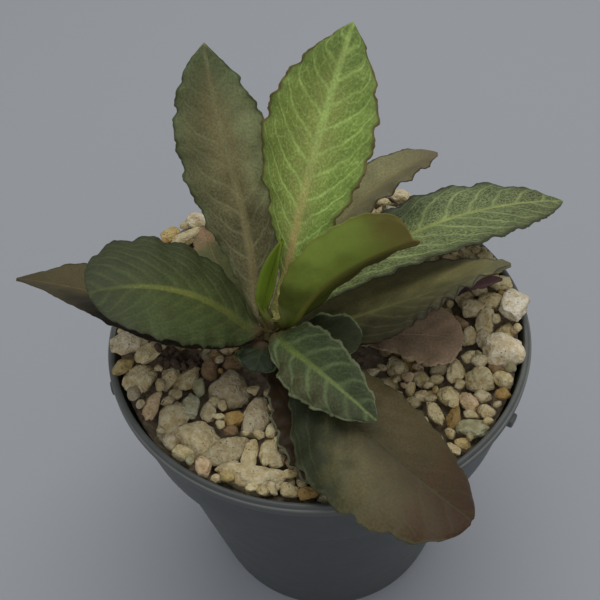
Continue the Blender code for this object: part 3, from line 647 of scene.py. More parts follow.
def blade_zones(tree, tones, spot):
    """Shares of the zones of a blade's skin: left half, zone along the midrib, tip and base; on some leaves
    the halves and the base also carry painted light and shade.
    """
    # Share of the left half, which on some leaves divides a painted lit half from a painted shaded one.
    turned = add(tree, "ShaderNodeMapRange", spot.side, -0.15, 0.15, 0.0, 1.0)
    inner = add(tree, "ShaderNodeMath", spot.mottle, 0.5, spot.edge, operation="MULTIPLY_ADD")
    inner = add(tree, "ShaderNodeMath", spot.length, 0.3, inner, operation="MULTIPLY_ADD")
    inner = add(tree, "ShaderNodeMapRange", inner, 0.45, 1.05, 0.9, 0.0, interpolation_type="SMOOTHSTEP")
    far = add(tree, "ShaderNodeMath", spot.mottle, 0.3, spot.length, operation="MULTIPLY_ADD")
    end = add(tree, "ShaderNodeMapRange", far, tones.tip_from + 0.1, 1.15, 0.0, 1.0,
              interpolation_type="SMOOTHSTEP")
    # The base's colour, with its painted shade on several leaves, gives way along the blade; base_lean
    # shifts where it does in one half.
    near = add(tree, "ShaderNodeMath", spot.side, tones.base_lean, far, operation="MULTIPLY_ADD")
    root = add(tree, "ShaderNodeMapRange", near, tones.base_to - 0.05, tones.base_to + 0.3, 1.0, 0.0,
               interpolation_type="SMOOTHSTEP")
    return turned, inner, end, root


def margin_zones(tree, tones, spot):
    """Shares of the border, of the hem that edges it, and of the joint with the stem."""
    border = add(tree, "ShaderNodeMath", spot.mottle, 0.35, spot.edge, operation="MULTIPLY_ADD")
    border = add(tree, "ShaderNodeMapRange", border, 0.88, 1.18, 0.0, tones.border,
                 interpolation_type="SMOOTHSTEP")
    hem = add(tree, "ShaderNodeMath", spot.stipple, 0.04, spot.edge, operation="MULTIPLY_ADD")
    hem = add(tree, "ShaderNodeMapRange", hem, tones.hem, tones.hem + 0.04, 0.0, tones.edge)
    blade = add(tree, "ShaderNodeMapRange", spot.length, 0.06, 0.2, 0.0, 1.0)
    hem = add(tree, "ShaderNodeMath", hem, blade, operation="MULTIPLY")
    # The skin browns at the joint with the stem, but a young leaf is green right down to it.
    browning = 0.2 if tones.slot == "leaf_young" else 0.6
    joint = add(tree, "ShaderNodeMapRange", spot.along, 0.8, 3.0, browning, 0.0,
                interpolation_type="SMOOTHSTEP")
    return border, hem, joint


def leaf_finish(name, tones):
    """Waxed leaf skin: a soft sheen, with pale veins and a finer net over the darker green."""
    material, tree, shader = new_finish("waxed_leaf_" + name, 0.55)
    shader.inputs["IOR"].default_value = 1.42
    shader.inputs["Specular IOR Level"].default_value = 0.35
    spot = blade_places(tree)
    thin = thin_veins(tree, tones, spot)
    rib = midrib_line(tree, tones, spot)
    greener = add(tree, "ShaderNodeMapRange", spot.length, 0.2, 0.7, 0.0, 1.0)
    cord = add(tree, "ShaderNodeMix", data_type="RGBA",
               named={0: greener, 6: tones.rib[0], 7: tones.rib[1]})
    turned, inner, end, root = blade_zones(tree, tones, spot)
    border, hem, joint = margin_zones(tree, tones, spot)
    # Colours from the ground up: each layer covers the one before by its own share.
    layers = [(turned, tones.halves[0]), (inner, tones.centre), (end, tones.tip), (root, tones.base)]
    if tones.pale_below:
        below = add(tree, "ShaderNodeMath", spot.below, 0.35, operation="MULTIPLY")
        layers.append((below, "#8F8E78"))
    layers += [(thin, tones.vein), (border, tones.tip), (rib, cord), (hem, tones.margin),
               (joint, "#573A28")]
    body = tones.halves[1]
    for covering, colour in layers:
        body = add(tree, "ShaderNodeMix", data_type="RGBA", named={0: covering, 6: body, 7: colour})
    # A smooth young blade without veins is also more even in colour.
    uneven = 0.16 if tones.veins else 0.07
    for cloud, depth in ((spot.mottle, uneven), (spot.stipple, tones.grain)):
        shade = add(tree, "ShaderNodeMapRange", cloud, 0.3, 0.7, 1.0 - depth, 1.0 + depth)
        body = add(tree, "ShaderNodeMix", data_type="RGBA", blend_type="MULTIPLY",
                   named={0: 1.0, 6: body, 7: shade})
    # Relief: veins stand up a little, with a fine grain over all.
    raised = add(tree, "ShaderNodeMath", rib, thin, operation="MAXIMUM")
    relief = add(tree, "ShaderNodeMath", spot.stipple, 0.4, raised, operation="MULTIPLY_ADD")
    bump = add(tree, "ShaderNodeBump", named={"Height": relief, "Strength": 0.5, "Distance": 0.14 * MM})
    gloss = add(tree, "ShaderNodeMapRange", spot.stipple, 0.3, 0.7, 0.48, 0.66)
    join(tree, shader, body, bump, gloss)
    return material


# Gravel

def bed_height(x, y):
    """Top of the bed: heaped towards the rim at the sides and the back, with a low bank at the front."""
    radius = np.hypot(x, y)
    edge = smooth((radius - HEAP_FOOT[0]) / HEAP_FOOT[1])
    sides = smooth((y - HEAP_FRONT[0]) / HEAP_FRONT[1])
    heap = sides + HEAP_BACK[2] * smooth((y - HEAP_BACK[0]) / HEAP_BACK[1])
    bank = smooth((radius - BANK_FOOT[0]) / BANK_FOOT[1]) * (1.0 - sides)
    return BED_LEVEL + HEAP_HEIGHT * edge * heap + BANK_HEIGHT * bank


def leaf_ceiling(cells, leaf_corners):
    """Lowest leaf over each cell of the grid."""
    count = len(cells)
    ceiling = np.full((count, count), 1000.0)
    for dx in (-0.6, 0.0, 0.6):
        for dy in (-0.6, 0.0, 0.6):
            column = np.round((leaf_corners[:, 0] + dx - cells[0]) / STONE_CELL).astype(int)
            row = np.round((leaf_corners[:, 1] + dy - cells[0]) / STONE_CELL).astype(int)
            inside = (column >= 0) & (column < count) & (row >= 0) & (row < count)
            np.minimum.at(ceiling, (row[inside], column[inside]), leaf_corners[inside, 2])
    return ceiling


class StoneBed:
    """The bed on a grid seen from above, with the stones that have been laid on it."""

    def __init__(self, leaf_corners):
        self.rng = random.Random(STONE_SEED)
        self.cells = np.arange(-GRID_REACH, GRID_REACH, STONE_CELL)
        self.grid_x, self.grid_y = np.meshgrid(self.cells, self.cells)
        self.surface = bed_height(self.grid_x, self.grid_y)
        self.taken = np.zeros_like(self.surface, dtype=bool)
        self.ceiling = leaf_ceiling(self.cells, leaf_corners)
        self.stones = []

    def window(self, x, y, size, turn):
        """Part of the grid that a stone covers, and its bulge over each cell."""
        reach = max(size[0], size[1])
        low_x, high_x = np.searchsorted(self.cells, (x - reach, x + reach))
        low_y, high_y = np.searchsorted(self.cells, (y - reach, y + reach))
        part = (slice(low_y, high_y), slice(low_x, high_x))
        dx, dy = self.grid_x[part] - x, self.grid_y[part] - y
        across = dx * math.cos(turn) + dy * math.sin(turn)
        along = dy * math.cos(turn) - dx * math.sin(turn)
        inside = (across / size[0]) ** 2 + (along / size[1]) ** 2
        return part, inside, size[2] * np.sqrt(np.clip(1.0 - inside, 0.0, 1.0))

    def rest(self, x, y, size, turn):
        """Height of the centre of a stone that rests there, or nothing where a shown stone lies."""
        part, inside, bulge = self.window(x, y, size, turn)
        covers = inside < 0.86
        if not covers.any() or self.taken[part][covers].any():
            return None
        return float((self.surface[part] + bulge * 0.8)[covers].max())

    def settle(self, x, y, height, size, turn, tone):
        """Puts a stone down, pressed under the leaf over it, and raises the surface."""
        part, inside, bulge = self.window(x, y, size, turn)
        covers = inside < 0.95
        room = float((self.ceiling[part] - bulge)[covers].min()) - LEAF_CLEARANCE
        height = min(height, room)
        if height < float(bed_height(x, y)) - 0.5:
            return
        self.surface[part] = np.maximum(self.surface[part], np.where(covers, height + bulge, -1000.0))
        tilt = (self.rng.uniform(-0.2, 0.2), self.rng.uniform(-0.2, 0.2), turn)
        self.stones.append(((x, y, height), tilt, size, tone))

    def claim(self, x, y, size, turn, share):
        """Keeps the later stones off the middle of a stone."""
        part, inside, _ = self.window(x, y, size, turn)
        self.taken[part] |= inside < share


def lay_shown_stones(bed):
    """Puts down the stones that the photograph shows."""
    for x, y, length, width, turn, tone, *given in SHOWN_STONES:
        size = (length * SHOWN_HALF[0], width * SHOWN_HALF[1], width * SHOWN_HALF[2])
        turn = math.radians(turn)
        height = given[0] if given else float(bed_height(x, y)) + SHOWN_LIFT - size[2] * 0.5
        bed.settle(x, y, height, size, turn, tone)
        bed.claim(x, y, size, turn, 0.3)


def lay_peat(bed):
    """Heaps crumbs of peat on them in one place."""
    for _ in range(PEAT_CRUMBS):
        reach, angle = PEAT_CLUMP[2] * math.sqrt(bed.rng.random()), bed.rng.uniform(0.0, math.tau)
        size = [bed.rng.uniform(0.5, 1.1) for _ in range(3)]
        x, y = PEAT_CLUMP[0] + reach * math.cos(angle), PEAT_CLUMP[1] + 0.7 * reach * math.sin(angle)
        part = bed.window(x, y, size, 0.0)[0]
        bed.settle(x, y, float(bed.surface[part].mean()) + 0.5, size, angle, "peat")
        bed.claim(x, y, size, 0.0, 0.6)


def is_bare(x, y, longest):
    """Whether a stone there would touch the stem or a bare patch."""
    return (math.hypot(x - STEM_X, y - STEM_Y) < STEM_RADIUS + longest + STEM_CLEARANCE
            or any(math.hypot(x - patch[0], y - patch[1]) < patch[2] + longest * 0.7
                   for patch in BARE_PATCHES))


def lowest_place(bed, size, turn):
    """The lowest of a few places for a stone: its rise over the bed, x, y and height, or nothing."""
    best = None
    for _ in range(PLACES_TRIED):
        angle = bed.rng.uniform(0.0, math.tau)
        outward = math.hypot(size[0] * math.cos(angle - turn), size[1] * math.sin(angle - turn))
        # No stone is put against the wall at the front, where the photograph shows a bare gap.
        at_wall = math.sin(angle) > -0.35 and bed.rng.random() < WALL_SHARE
        reach = (STONE_REACH - 0.92 * outward) * (1.0 if at_wall else math.sqrt(bed.rng.random()))
        x, y = reach * math.cos(angle), reach * math.sin(angle)
        height = None if is_bare(x, y, size[0]) else bed.rest(x, y, size, turn)
        if height is None:
            continue
        over = height + size[2] - float(bed_height(x, y))
        if best is None or over < best[0]:
            best = (over, x, y, height)
    return best


def lay_loose_stones(bed):
    """Fills the gaps with ever smaller stones, while they don't pile up too high."""
    tones = [tone for tone, share in LOOSE_TONES.items() for _ in range(share)]
    for radius, tries in LOOSE_STONES:
        for _ in range(tries):
            longest = radius * bed.rng.uniform(0.85, 1.3)
            size = (longest, longest * bed.rng.uniform(0.6, 0.9), longest * bed.rng.uniform(0.5, 0.7))
            turn = bed.rng.uniform(0.0, math.pi)
            best = lowest_place(bed, size, turn)
            if best is not None and best[0] < PILE_LIMIT:
                bed.settle(best[1], best[2], best[3] - 0.1, size, turn, bed.rng.choice(tones))


def lay_stones(leaf_corners):
    """Places of all stones: the shown ones first, then ever smaller ones in the lowest gaps."""
    bed = StoneBed(leaf_corners)
    lay_shown_stones(bed)
    lay_peat(bed)
    lay_loose_stones(bed)
    return bed.stones


def stone_shape(name, fineness, seed):
    """A lump of pumice one unit in half-size: broken faces, dents and knobs."""
    rng = random.Random(seed)

    def direction():
        return Vector((rng.gauss(0, 1), rng.gauss(0, 1), rng.gauss(0, 1))).normalized()

    build = bmesh.new()
    bmesh.ops.create_icosphere(build, subdivisions=fineness, radius=1.0)
    cuts = [(direction(), rng.uniform(0.62, 0.92)) for _ in range(rng.randint(6, 9))]
    rough = rng.uniform(0.4, 1.5)
    dents = [(direction(), rng.uniform(0.08, 0.2), rng.uniform(0.25, 0.5)) for _ in range(4)]
    offset = direction() * 40.0
    for corner in build.verts:
        point = corner.co.normalized()
        point *= 1.0 + 0.32 * noise.noise(point * 0.9 + offset) + 0.16 * noise.noise(point * 2.3 + offset)
        for way, reach in cuts:
            over = point.dot(way) - reach
            if over > 0.0:
                point = point - way * over * 0.85
        for way, depth, breadth in dents:
            near = (point.normalized() - way).length / breadth
            point *= 1.0 - depth * math.exp(-near * near)
        knobs = 0.1 * abs(noise.noise(point * 3.4 + offset)) + 0.05 * noise.noise(point * 7.5 + offset)
        point *= 1.0 + rough * (knobs + 0.025 * noise.noise(point * 14.0 + offset))
        corner.co = point
    low = [min(corner.co[axis] for corner in build.verts) for axis in range(3)]
    span = [max(corner.co[axis] for corner in build.verts) - low[axis] for axis in range(3)]
    for corner in build.verts:
        corner.co = Vector([(corner.co[axis] - low[axis]) / span[axis] * 2.0 - 1.0 for axis in range(3)])
    lump = built(build, name)
    lump.data.shade_smooth()
    return lump


def stone_tree():
    """Node tree that puts a stone on every point, by the point's own turn, size and shape."""
    tree = bpy.data.node_groups.new("lay_stones", "GeometryNodeTree")
    tree.interface.new_socket("Places", in_out="INPUT", socket_type="NodeSocketGeometry")
    tree.interface.new_socket("Shapes", in_out="INPUT", socket_type="NodeSocketCollection")
    tree.interface.new_socket("Finish", in_out="INPUT", socket_type="NodeSocketMaterial")
    tree.interface.new_socket("Stones", in_out="OUTPUT", socket_type="NodeSocketGeometry")
    given = add(tree, "NodeGroupInput")
    chosen = add(tree, "GeometryNodeCollectionInfo", named={"Collection": given.outputs["Shapes"],
                                                            "Separate Children": True,
                                                            "Reset Children": True})
    kind = add(tree, "GeometryNodeInputNamedAttribute", "shape", data_type="INT")
    turn = add(tree, "GeometryNodeInputNamedAttribute", "turn", data_type="FLOAT_VECTOR")
    size = add(tree, "GeometryNodeInputNamedAttribute", "size", data_type="FLOAT_VECTOR")
    laid = add(tree, "GeometryNodeInstanceOnPoints",
               named={"Points": given.outputs["Places"], "Instance": chosen, "Pick Instance": True,
                      "Instance Index": kind, "Rotation": turn, "Scale": size})
    real = add(tree, "GeometryNodeRealizeInstances", laid)
    done = add(tree, "GeometryNodeSetMaterial", named={"Geometry": real,
                                                       "Material": given.outputs["Finish"]})
    add(tree, "NodeGroupOutput", done)
    return tree


def make_stones(leaf_corners, finish):
    """Loose pumice: large, middling and small stones as three pieces that stand for the gravel."""
    stones = lay_stones(leaf_corners)
    rng = random.Random(STONE_SEED + 1)
    for label, fineness, low, high, kinds in STONE_GRADES:
        chosen = [stone for stone in stones if low <= stone[2][0] < high]
        shapes = bpy.data.collections.new("shapes_" + label)
        for number in range(kinds):
            shapes.objects.link(stone_shape(f"{label}_{number:02d}", fineness, 100 * fineness + number))
        points = mesh_piece("places_" + label, [stone[0] for stone in chosen], [], smoothed=False)
        mesh = points.data
        colours = []
        for stone in chosen:
            base = np.array(linear(STONE_TONES[stone[3]])[:3])
            colours.append(base * rng.uniform(0.86, 1.1) * np.array([1.0, 1.0, rng.uniform(0.92, 1.05)]))
        sizes = np.array([stone[2] for stone in chosen]) * MM
        turns = np.array([stone[1] for stone in chosen])
        for key, values in (("turn", turns), ("size", sizes), ("stone_colour", np.array(colours))):
            mesh.attributes.new(key, "FLOAT_VECTOR", "POINT").data.foreach_set("vector", values.ravel())
        picks = np.arange(len(chosen), dtype=np.int32) % kinds
        mesh.attributes.new("shape", "INT", "POINT").data.foreach_set("value", picks)
        tree = stone_tree()
        step = points.modifiers.new("lay", "NODES")
        step.node_group = tree
        sockets = {item.name: item.identifier for item in tree.interface.items_tree
                   if item.in_out == "INPUT"}
        step[sockets["Shapes"]] = shapes
        step[sockets["Finish"]] = finish
        piece = evaluated_copy(points, "pumice_" + label)
        for thing in list(shapes.objects):
            bpy.data.objects.remove(thing, do_unlink=True)
        bpy.data.collections.remove(shapes)
        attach(piece, "root")
        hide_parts("gravel")


def stone_finish():
    """Washed pumice: dull and without gloss, pitted by old gas bubbles, with painted shade as dark specks
    in the pits.
    """
    material, tree, shader = new_finish("pumice", 0.92)
    place = add(tree, "ShaderNodeTexCoord")
    tint = add(tree, "ShaderNodeAttribute", attribute_name="stone_colour")
    cloud = add(tree, "ShaderNodeTexNoise",
                named={"Vector": place.outputs["Object"], "Scale": 1.0 / (1.6 * MM), "Detail": 6.0})
    stain = add(tree, "ShaderNodeMapRange", cloud, 0.36, 0.6, 1.0, 0.0)
    earthy = add(tree, "ShaderNodeMix", data_type="RGBA",
                 named={0: stain, 6: "#FFFFFF", 7: "#E0D6C0"})
    body = add(tree, "ShaderNodeMix", data_type="RGBA", blend_type="MULTIPLY",
               named={0: 1.0, 6: tint.outputs["Color"], 7: earthy})
    pits = add(tree, "ShaderNodeTexVoronoi",
               named={"Vector": place.outputs["Object"], "Scale": 1.0 / (0.75 * MM), "Randomness": 1.0})
    rare = add(tree, "ShaderNodeTexNoise",
               named={"Vector": place.outputs["Object"], "Scale": 1.0 / (1.5 * MM), "Detail": 2.0})
    # Painted shade: the pits are darkened as if shade fell inside them.
    hole = add(tree, "ShaderNodeMapRange", pits, 0.12, 0.24, 1.0, 0.0)
    seldom = add(tree, "ShaderNodeMapRange", rare, 0.5, 0.62, 0.0, 1.0)
    hole = add(tree, "ShaderNodeMath", hole, seldom, operation="MULTIPLY")
    dark = add(tree, "ShaderNodeMath", hole, 0.7, operation="MULTIPLY")
    body = add(tree, "ShaderNodeMix", data_type="RGBA", named={0: dark, 6: body, 7: "#4A3D2E"})
    grit = add(tree, "ShaderNodeTexNoise",
               named={"Vector": place.outputs["Object"], "Scale": 1.0 / (0.55 * MM), "Detail": 4.0})
    speck = add(tree, "ShaderNodeMapRange", grit, 0.3, 0.7, 0.86, 1.1)
    body = add(tree, "ShaderNodeMix", data_type="RGBA", blend_type="MULTIPLY",
               named={0: 1.0, 6: body, 7: speck})
    relief = add(tree, "ShaderNodeMath", hole, -0.8, grit, operation="MULTIPLY_ADD")
    relief = add(tree, "ShaderNodeMath", cloud, 1.5, relief, operation="MULTIPLY_ADD")
    bump = add(tree, "ShaderNodeBump", named={"Height": relief, "Strength": 0.85, "Distance": 0.55 * MM})
    join(tree, shader, body, bump)
    return material


def make_bed():
    """Bed of compost crumbs and dust under the stones, closed down to the soil."""
    rings = np.concatenate([[0.6], np.linspace(2.0, BED_RADIUS, 50)])
    foot_radius, foot_height = BED_FOOT
    sectors = 180
    corners = [(0.0, 0.0, foot_height), (0.0, 0.0, float(bed_height(0.0, 0.0)))]
    for radius in rings:
        for step in range(sectors):
            angle = math.tau * step / sectors
            x, y = radius * math.cos(angle), radius * math.sin(angle)
            crumbs = 0.45 * noise.noise(Vector((x, y, 0.0)) * 0.9)
            crumbs += 0.3 * noise.noise(Vector((x, y, 5.0)) * 2.2)
            corners.append((x, y, float(bed_height(x, y)) + crumbs))
    for step in range(sectors):
        angle = math.tau * step / sectors
        corners.append((foot_radius * math.cos(angle), foot_radius * math.sin(angle), foot_height))
    faces = []
    for step in range(sectors):
        after = (step + 1) % sectors
        faces.append((1, 2 + step, 2 + after))
        for ring in range(len(rings)):
            start = 2 + ring * sectors
            faces.append((start + step, start + sectors + step, start + sectors + after, start + after))
        foot = 2 + len(rings) * sectors
        faces.append((0, foot + after, foot + step))
    piece = mesh_piece("compost_bed", corners, faces)
    piece.data.materials.append(compost_finish())
    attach(piece, "root")
    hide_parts("gravel")


def compost_finish():
    """Damp potting compost: nearly black crumbs with brown fibre, which give no shine."""
    material, tree, shader = new_finish("damp_compost", 0.95)
    place = add(tree, "ShaderNodeTexCoord")
    crumbs = add(tree, "ShaderNodeTexVoronoi",
                 named={"Vector": place.outputs["Object"], "Scale": 1.0 / (1.1 * MM)})
    fibre = add(tree, "ShaderNodeTexNoise",
                named={"Vector": place.outputs["Object"], "Scale": 1.0 / (1.6 * MM), "Detail": 6.0})
    ramp = add(tree, "ShaderNodeMix", data_type="RGBA",
               named={0: crumbs.outputs["Color"], 6: "#685B4F", 7: "#A29176"})
    spots = add(tree, "ShaderNodeMapRange", fibre, 0.6, 0.72, 0.0, 0.8)
    body = add(tree, "ShaderNodeMix", data_type="RGBA", named={0: spots, 6: ramp, 7: "#A08B68"})
    bump = add(tree, "ShaderNodeBump", named={"Height": fibre, "Strength": 0.9, "Distance": 0.6 * MM})
    join(tree, shader, body, bump)
    return material


# Pot

def pot_profile():
    """Section of the pot from the axis under its foot, up outside, over the bead and down inside."""
    def outside(height):
        return FOOT_RADIUS + (BODY_TOP_RADIUS - FOOT_RADIUS) * height / COLLAR_FOOT_Z

    # Foot with a small bevel, the tapering body, and the step out to the collar.
    points = [(0.0, 0.0), (FOOT_RADIUS - 1.0, 0.0), (FOOT_RADIUS - 0.4, 0.12), (FOOT_RADIUS - 0.05, 0.45),
              (FOOT_RADIUS + 0.05, 0.9)]
    points += [(outside(height), height) for height in (4.0, 20.0, 40.0, 58.0)]
    points += [(outside(COLLAR_FOOT_Z - 1.4), COLLAR_FOOT_Z - 1.4)]
    points += [(outside(COLLAR_FOOT_Z - 1.0) + 0.25, COLLAR_FOOT_Z - 0.9)]
    points += [(COLLAR_FOOT_RADIUS - 0.35, COLLAR_FOOT_Z - 0.25)]
    points += [(COLLAR_FOOT_RADIUS - 0.05, COLLAR_FOOT_Z + 0.05)]
    points += [(COLLAR_FOOT_RADIUS + 0.05, COLLAR_FOOT_Z + 0.5)]
    # Collar, widening to the bead.
    collar_low = COLLAR_FOOT_Z + 0.5
    collar_top = POT_HEIGHT - BEAD_DROP - 0.7
    points += [(COLLAR_FOOT_RADIUS + (RIM_RADIUS - 0.65 - COLLAR_FOOT_RADIUS) * share,
                collar_low + (collar_top - collar_low) * share) for share in (0.33, 0.66, 1.0)]
    # Bead with a narrow rounded top, and a fine step round its outer edge.
    points += [(RIM_RADIUS - 0.3, collar_top + 0.3), (RIM_RADIUS - 0.06, collar_top + 0.6)]
    points += [(RIM_RADIUS, collar_top + 0.9), (RIM_RADIUS, POT_HEIGHT - 0.85)]
    points += [(RIM_RADIUS - 0.08, POT_HEIGHT - 0.66), (RIM_RADIUS - 0.24, POT_HEIGHT - 0.57)]
    points += [(RIM_RADIUS - 0.36, POT_HEIGHT - 0.56), (RIM_RADIUS - 0.46, POT_HEIGHT - 0.34)]
    points += [(RIM_RADIUS - 0.64, POT_HEIGHT - 0.12), (RIM_RADIUS - 0.9, POT_HEIGHT)]
    # Down the inside, which follows the outside at the wall's thickness.
    inner_rim = RIM_RADIUS - BEAD_WIDTH
    points += [(inner_rim + 0.42, POT_HEIGHT - 0.02), (inner_rim + 0.16, POT_HEIGHT - 0.12)]
    points += [(inner_rim + 0.02, POT_HEIGHT - 0.4), (inner_rim - 0.02, POT_HEIGHT - 0.9)]
    points += [(inner_rim - 0.15, POT_HEIGHT - 3.0)]
    points += [(COLLAR_FOOT_RADIUS - WALL, COLLAR_FOOT_Z + 1.0)]
    points += [(BODY_TOP_RADIUS - WALL, COLLAR_FOOT_Z - 1.0)]
    points += [(outside(FLOOR) - WALL, FLOOR + 0.6), (outside(FLOOR) - WALL - 0.6, FLOOR), (0.0, FLOOR)]
    return points


def make_pot():
    """Moulded nursery pot with a beaded rim, two stacking lugs and drain holes."""
    build = bmesh.new()
    line = [build.verts.new((radius * MM, 0.0, height * MM)) for radius, height in pot_profile()]
    edges = [build.edges.new(pair) for pair in zip(line[:-1], line[1:])]
    bmesh.ops.spin(build, geom=line + edges, axis=(0, 0, 1), cent=(0, 0, 0), dvec=(0, 0, 0),
                   angle=math.tau, steps=POT_SEGMENTS, use_merge=True)
    bmesh.ops.remove_doubles(build, verts=build.verts, dist=0.01 * MM)
    bmesh.ops.recalc_face_normals(build, faces=build.faces)
    pot = built(build, "nursery_pot")
    bpy.context.scene.collection.objects.link(pot)
    lugs = [lug(angle) for angle in LUG_ANGLES]
    drains = []
    for step in range(DRAIN_COUNT):
        turn = math.tau * step / DRAIN_COUNT
        drains.append(drain(DRAIN_CIRCLE * math.cos(turn), DRAIN_CIRCLE * math.sin(turn)))
    for others, operation in ((lugs, "UNION"), (drains, "DIFFERENCE")):
        group = bpy.data.collections.new("operands")
        for other in others:
            group.objects.link(other)
        step = pot.modifiers.new(operation.lower(), "BOOLEAN")
        step.operation = operation
        step.operand_type = "COLLECTION"
        step.collection = group
        step.solver = "EXACT"
    piece = evaluated_copy(pot, "moulded_pot")
    for other in lugs + drains:
        bpy.data.objects.remove(other, do_unlink=True)
    piece.data.set_sharp_from_angle(angle=math.radians(40.0))
    piece.data.materials.clear()
    piece.data.materials.append(pot_finish())
    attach(piece, "root")
    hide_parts("pot")


def lug(angle):
    """A small stacking lug on the collar, with softened edges."""
    build = bmesh.new()
    bmesh.ops.create_cube(build, size=1.0)
    reach = RIM_RADIUS - 0.35
    bmesh.ops.scale(build, vec=Vector(LUG_SIZE) * MM, verts=build.verts)
    bmesh.ops.bevel(build, geom=build.edges, offset=0.4 * MM, segments=3, affect="EDGES", profile=0.5)
    turn = Matrix.Rotation(math.radians(angle), 4, "Z")
    place = Matrix.Translation(Vector((reach, 0.0, LUG_Z)) * MM)
    bmesh.ops.transform(build, matrix=turn @ place, verts=build.verts)
    return built(build, "lug")


def drain(x, y):
    """Cutter for one drain hole."""
    build = bmesh.new()
    bmesh.ops.create_cone(build, cap_ends=True, segments=32, radius1=DRAIN_RADIUS * MM,
                          radius2=DRAIN_RADIUS * MM, depth=(FLOOR + 2.0) * MM)
    bmesh.ops.translate(build, vec=Vector((x, y, FLOOR / 2.0)) * MM, verts=build.verts)
    return built(build, "drain")


def pot_finish():
    """Injection-moulded polypropylene: dark grey, satin, faintly grained, with dust and painted light on
    the rim and a painted highlight round its outer edge.
    """
    material, tree, shader = new_finish("moulded_polypropylene", 0.42)
    place = add(tree, "ShaderNodeTexCoord")
    height = add(tree, "ShaderNodeSeparateXYZ", place.outputs["Object"])
    dust = add(tree, "ShaderNodeTexNoise",
               named={"Vector": place.outputs["Object"], "Scale": 1.0 / (5.0 * MM), "Detail": 6.0})
    # Share of the rim top, which is painted lighter as if lit from above.
    upper = add(tree, "ShaderNodeMapRange", height.outputs["Z"], 78.9 * MM, 79.3 * MM, 0.4, 1.0)
    # Painted highlight: a thin pale line round the outer edge of the bead's top.
    flat = add(tree, "ShaderNodeVectorMath", place.outputs["Object"], (1.0, 1.0, 0.0),
               operation="MULTIPLY")
    radius = add(tree, "ShaderNodeVectorMath", flat, operation="LENGTH")
    edge = add(tree, "ShaderNodeMapRange", radius, (RIM_RADIUS - 0.5) * MM, (RIM_RADIUS - 0.3) * MM)
    edge_highlight = add(tree, "ShaderNodeMath", edge, upper, operation="MULTIPLY")
    edge_highlight = add(tree, "ShaderNodeMath", edge_highlight, 0.25, operation="MULTIPLY")
    # Painted light mixed with dust: the rim top is lighter than the body, least so at the front, under a
    # cloud of dust of which the body gets a fainter share.
    dust_and_light = add(tree, "ShaderNodeMapRange", height.outputs["Y"], -40.0 * MM, -22.0 * MM, 0.25, 1.0)
    dust_and_light = add(tree, "ShaderNodeMath", dust_and_light, upper, operation="MULTIPLY")
    dust_and_light = add(tree, "ShaderNodeMath", dust_and_light, dust, operation="MULTIPLY")
    body = add(tree, "ShaderNodeMix", data_type="RGBA",
               named={0: dust_and_light, 6: "#3E4142", 7: "#6E716A"})
    # The pale edge colour is the painted highlight.
    body = add(tree, "ShaderNodeMix", data_type="RGBA", named={0: edge_highlight, 6: body, 7: "#A2A39C"})
    grain = add(tree, "ShaderNodeTexNoise",
                named={"Vector": place.outputs["Object"], "Scale": 1.0 / (0.6 * MM), "Detail": 2.0})
    bump = add(tree, "ShaderNodeBump", named={"Height": grain, "Strength": 0.15, "Distance": 0.1 * MM})
    gloss = add(tree, "ShaderNodeMapRange", dust, 0.3, 0.7, 0.42, 0.5)
    join(tree, shader, body, bump, gloss)
    return material


# Stem and soil

def make_stem():
    """Scarred stem that the leaves leave, with a blunt growing tip."""
    rings = 60
    sectors = 64
    low, high = STEM_LOW.z / MM, STEM_HIGH.z / MM
    corners = [(STEM_X, STEM_Y, low)]
    for ring in range(rings):
        height = low + (high - low) * ring / (rings - 1) - 0.05
        radius = stem_radius(height) - 0.15
        closing = max(0.0, (height - high + STEM_TIP) / STEM_TIP)
        radius *= math.sqrt(max(0.02, 1.0 - closing ** 1.5))
        for step in range(sectors):
            angle = math.tau * step / sectors
            way = Vector((math.cos(angle) * 2.0, math.sin(angle) * 2.0, height * 0.5))
            scars = 0.2 * noise.noise(way) + 0.12 * noise.noise(way * 2.7)
            reach = radius + scars * (1.0 - closing) - 0.1
            corners.append((STEM_X + reach * math.cos(angle), STEM_Y + reach * math.sin(angle), height))
    corners.append((STEM_X, STEM_Y, high - 0.05))
    faces = []
    for step in range(sectors):
        after = (step + 1) % sectors
        faces.append((0, 1 + after, 1 + step))
        for ring in range(rings - 1):
            start = 1 + ring * sectors
            faces.append((start + step, start + after, start + sectors + after, start + sectors + step))
        start = 1 + (rings - 1) * sectors
        faces.append((start + step, start + after, len(corners) - 1))
    piece = mesh_piece("scarred_stem", corners, faces)
    piece.data.materials.append(stem_finish())
    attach(piece, "root")
    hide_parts("stem")


def make_bud_scales():
    """Small brown scales round the growing tip, between the stalks of the youngest leaves."""
    rows, columns = 12, 9
    finish = scale_finish()
    for number, (angle, height, length, width, lean) in enumerate(BUD_SCALES):
        turn = math.radians(angle)
        corners = []
        for side in (1.0, -1.0):
            for row in range(rows):
                share = row / (rows - 1)
                half = width / 2.0 * (1.0 - share ** 2.2) ** 0.6 + 0.03
                out = stem_radius(height) - 1.0 + length * share * math.sin(math.radians(lean))
                up = height + length * share * math.cos(math.radians(lean))
                for column in range(columns):
                    across = half * (2.0 * column / (columns - 1) - 1.0)
                    thick = side * 0.22 * (1.0 - (across / half) ** 2 * 0.8) * (1.0 - 0.7 * share)
                    reach = out + thick - 0.35 * across ** 2
                    corners.append((STEM_X + reach * math.cos(turn) - across * math.sin(turn),
                                    STEM_Y + reach * math.sin(turn) + across * math.cos(turn), up))
        faces = closed_sheet(np.arange(rows * columns).reshape(rows, columns).T)
        piece = mesh_piece(f"bud_scale_{number}", corners, faces)
        piece.data.materials.append(finish)
        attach(piece, "root")
        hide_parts("stem")


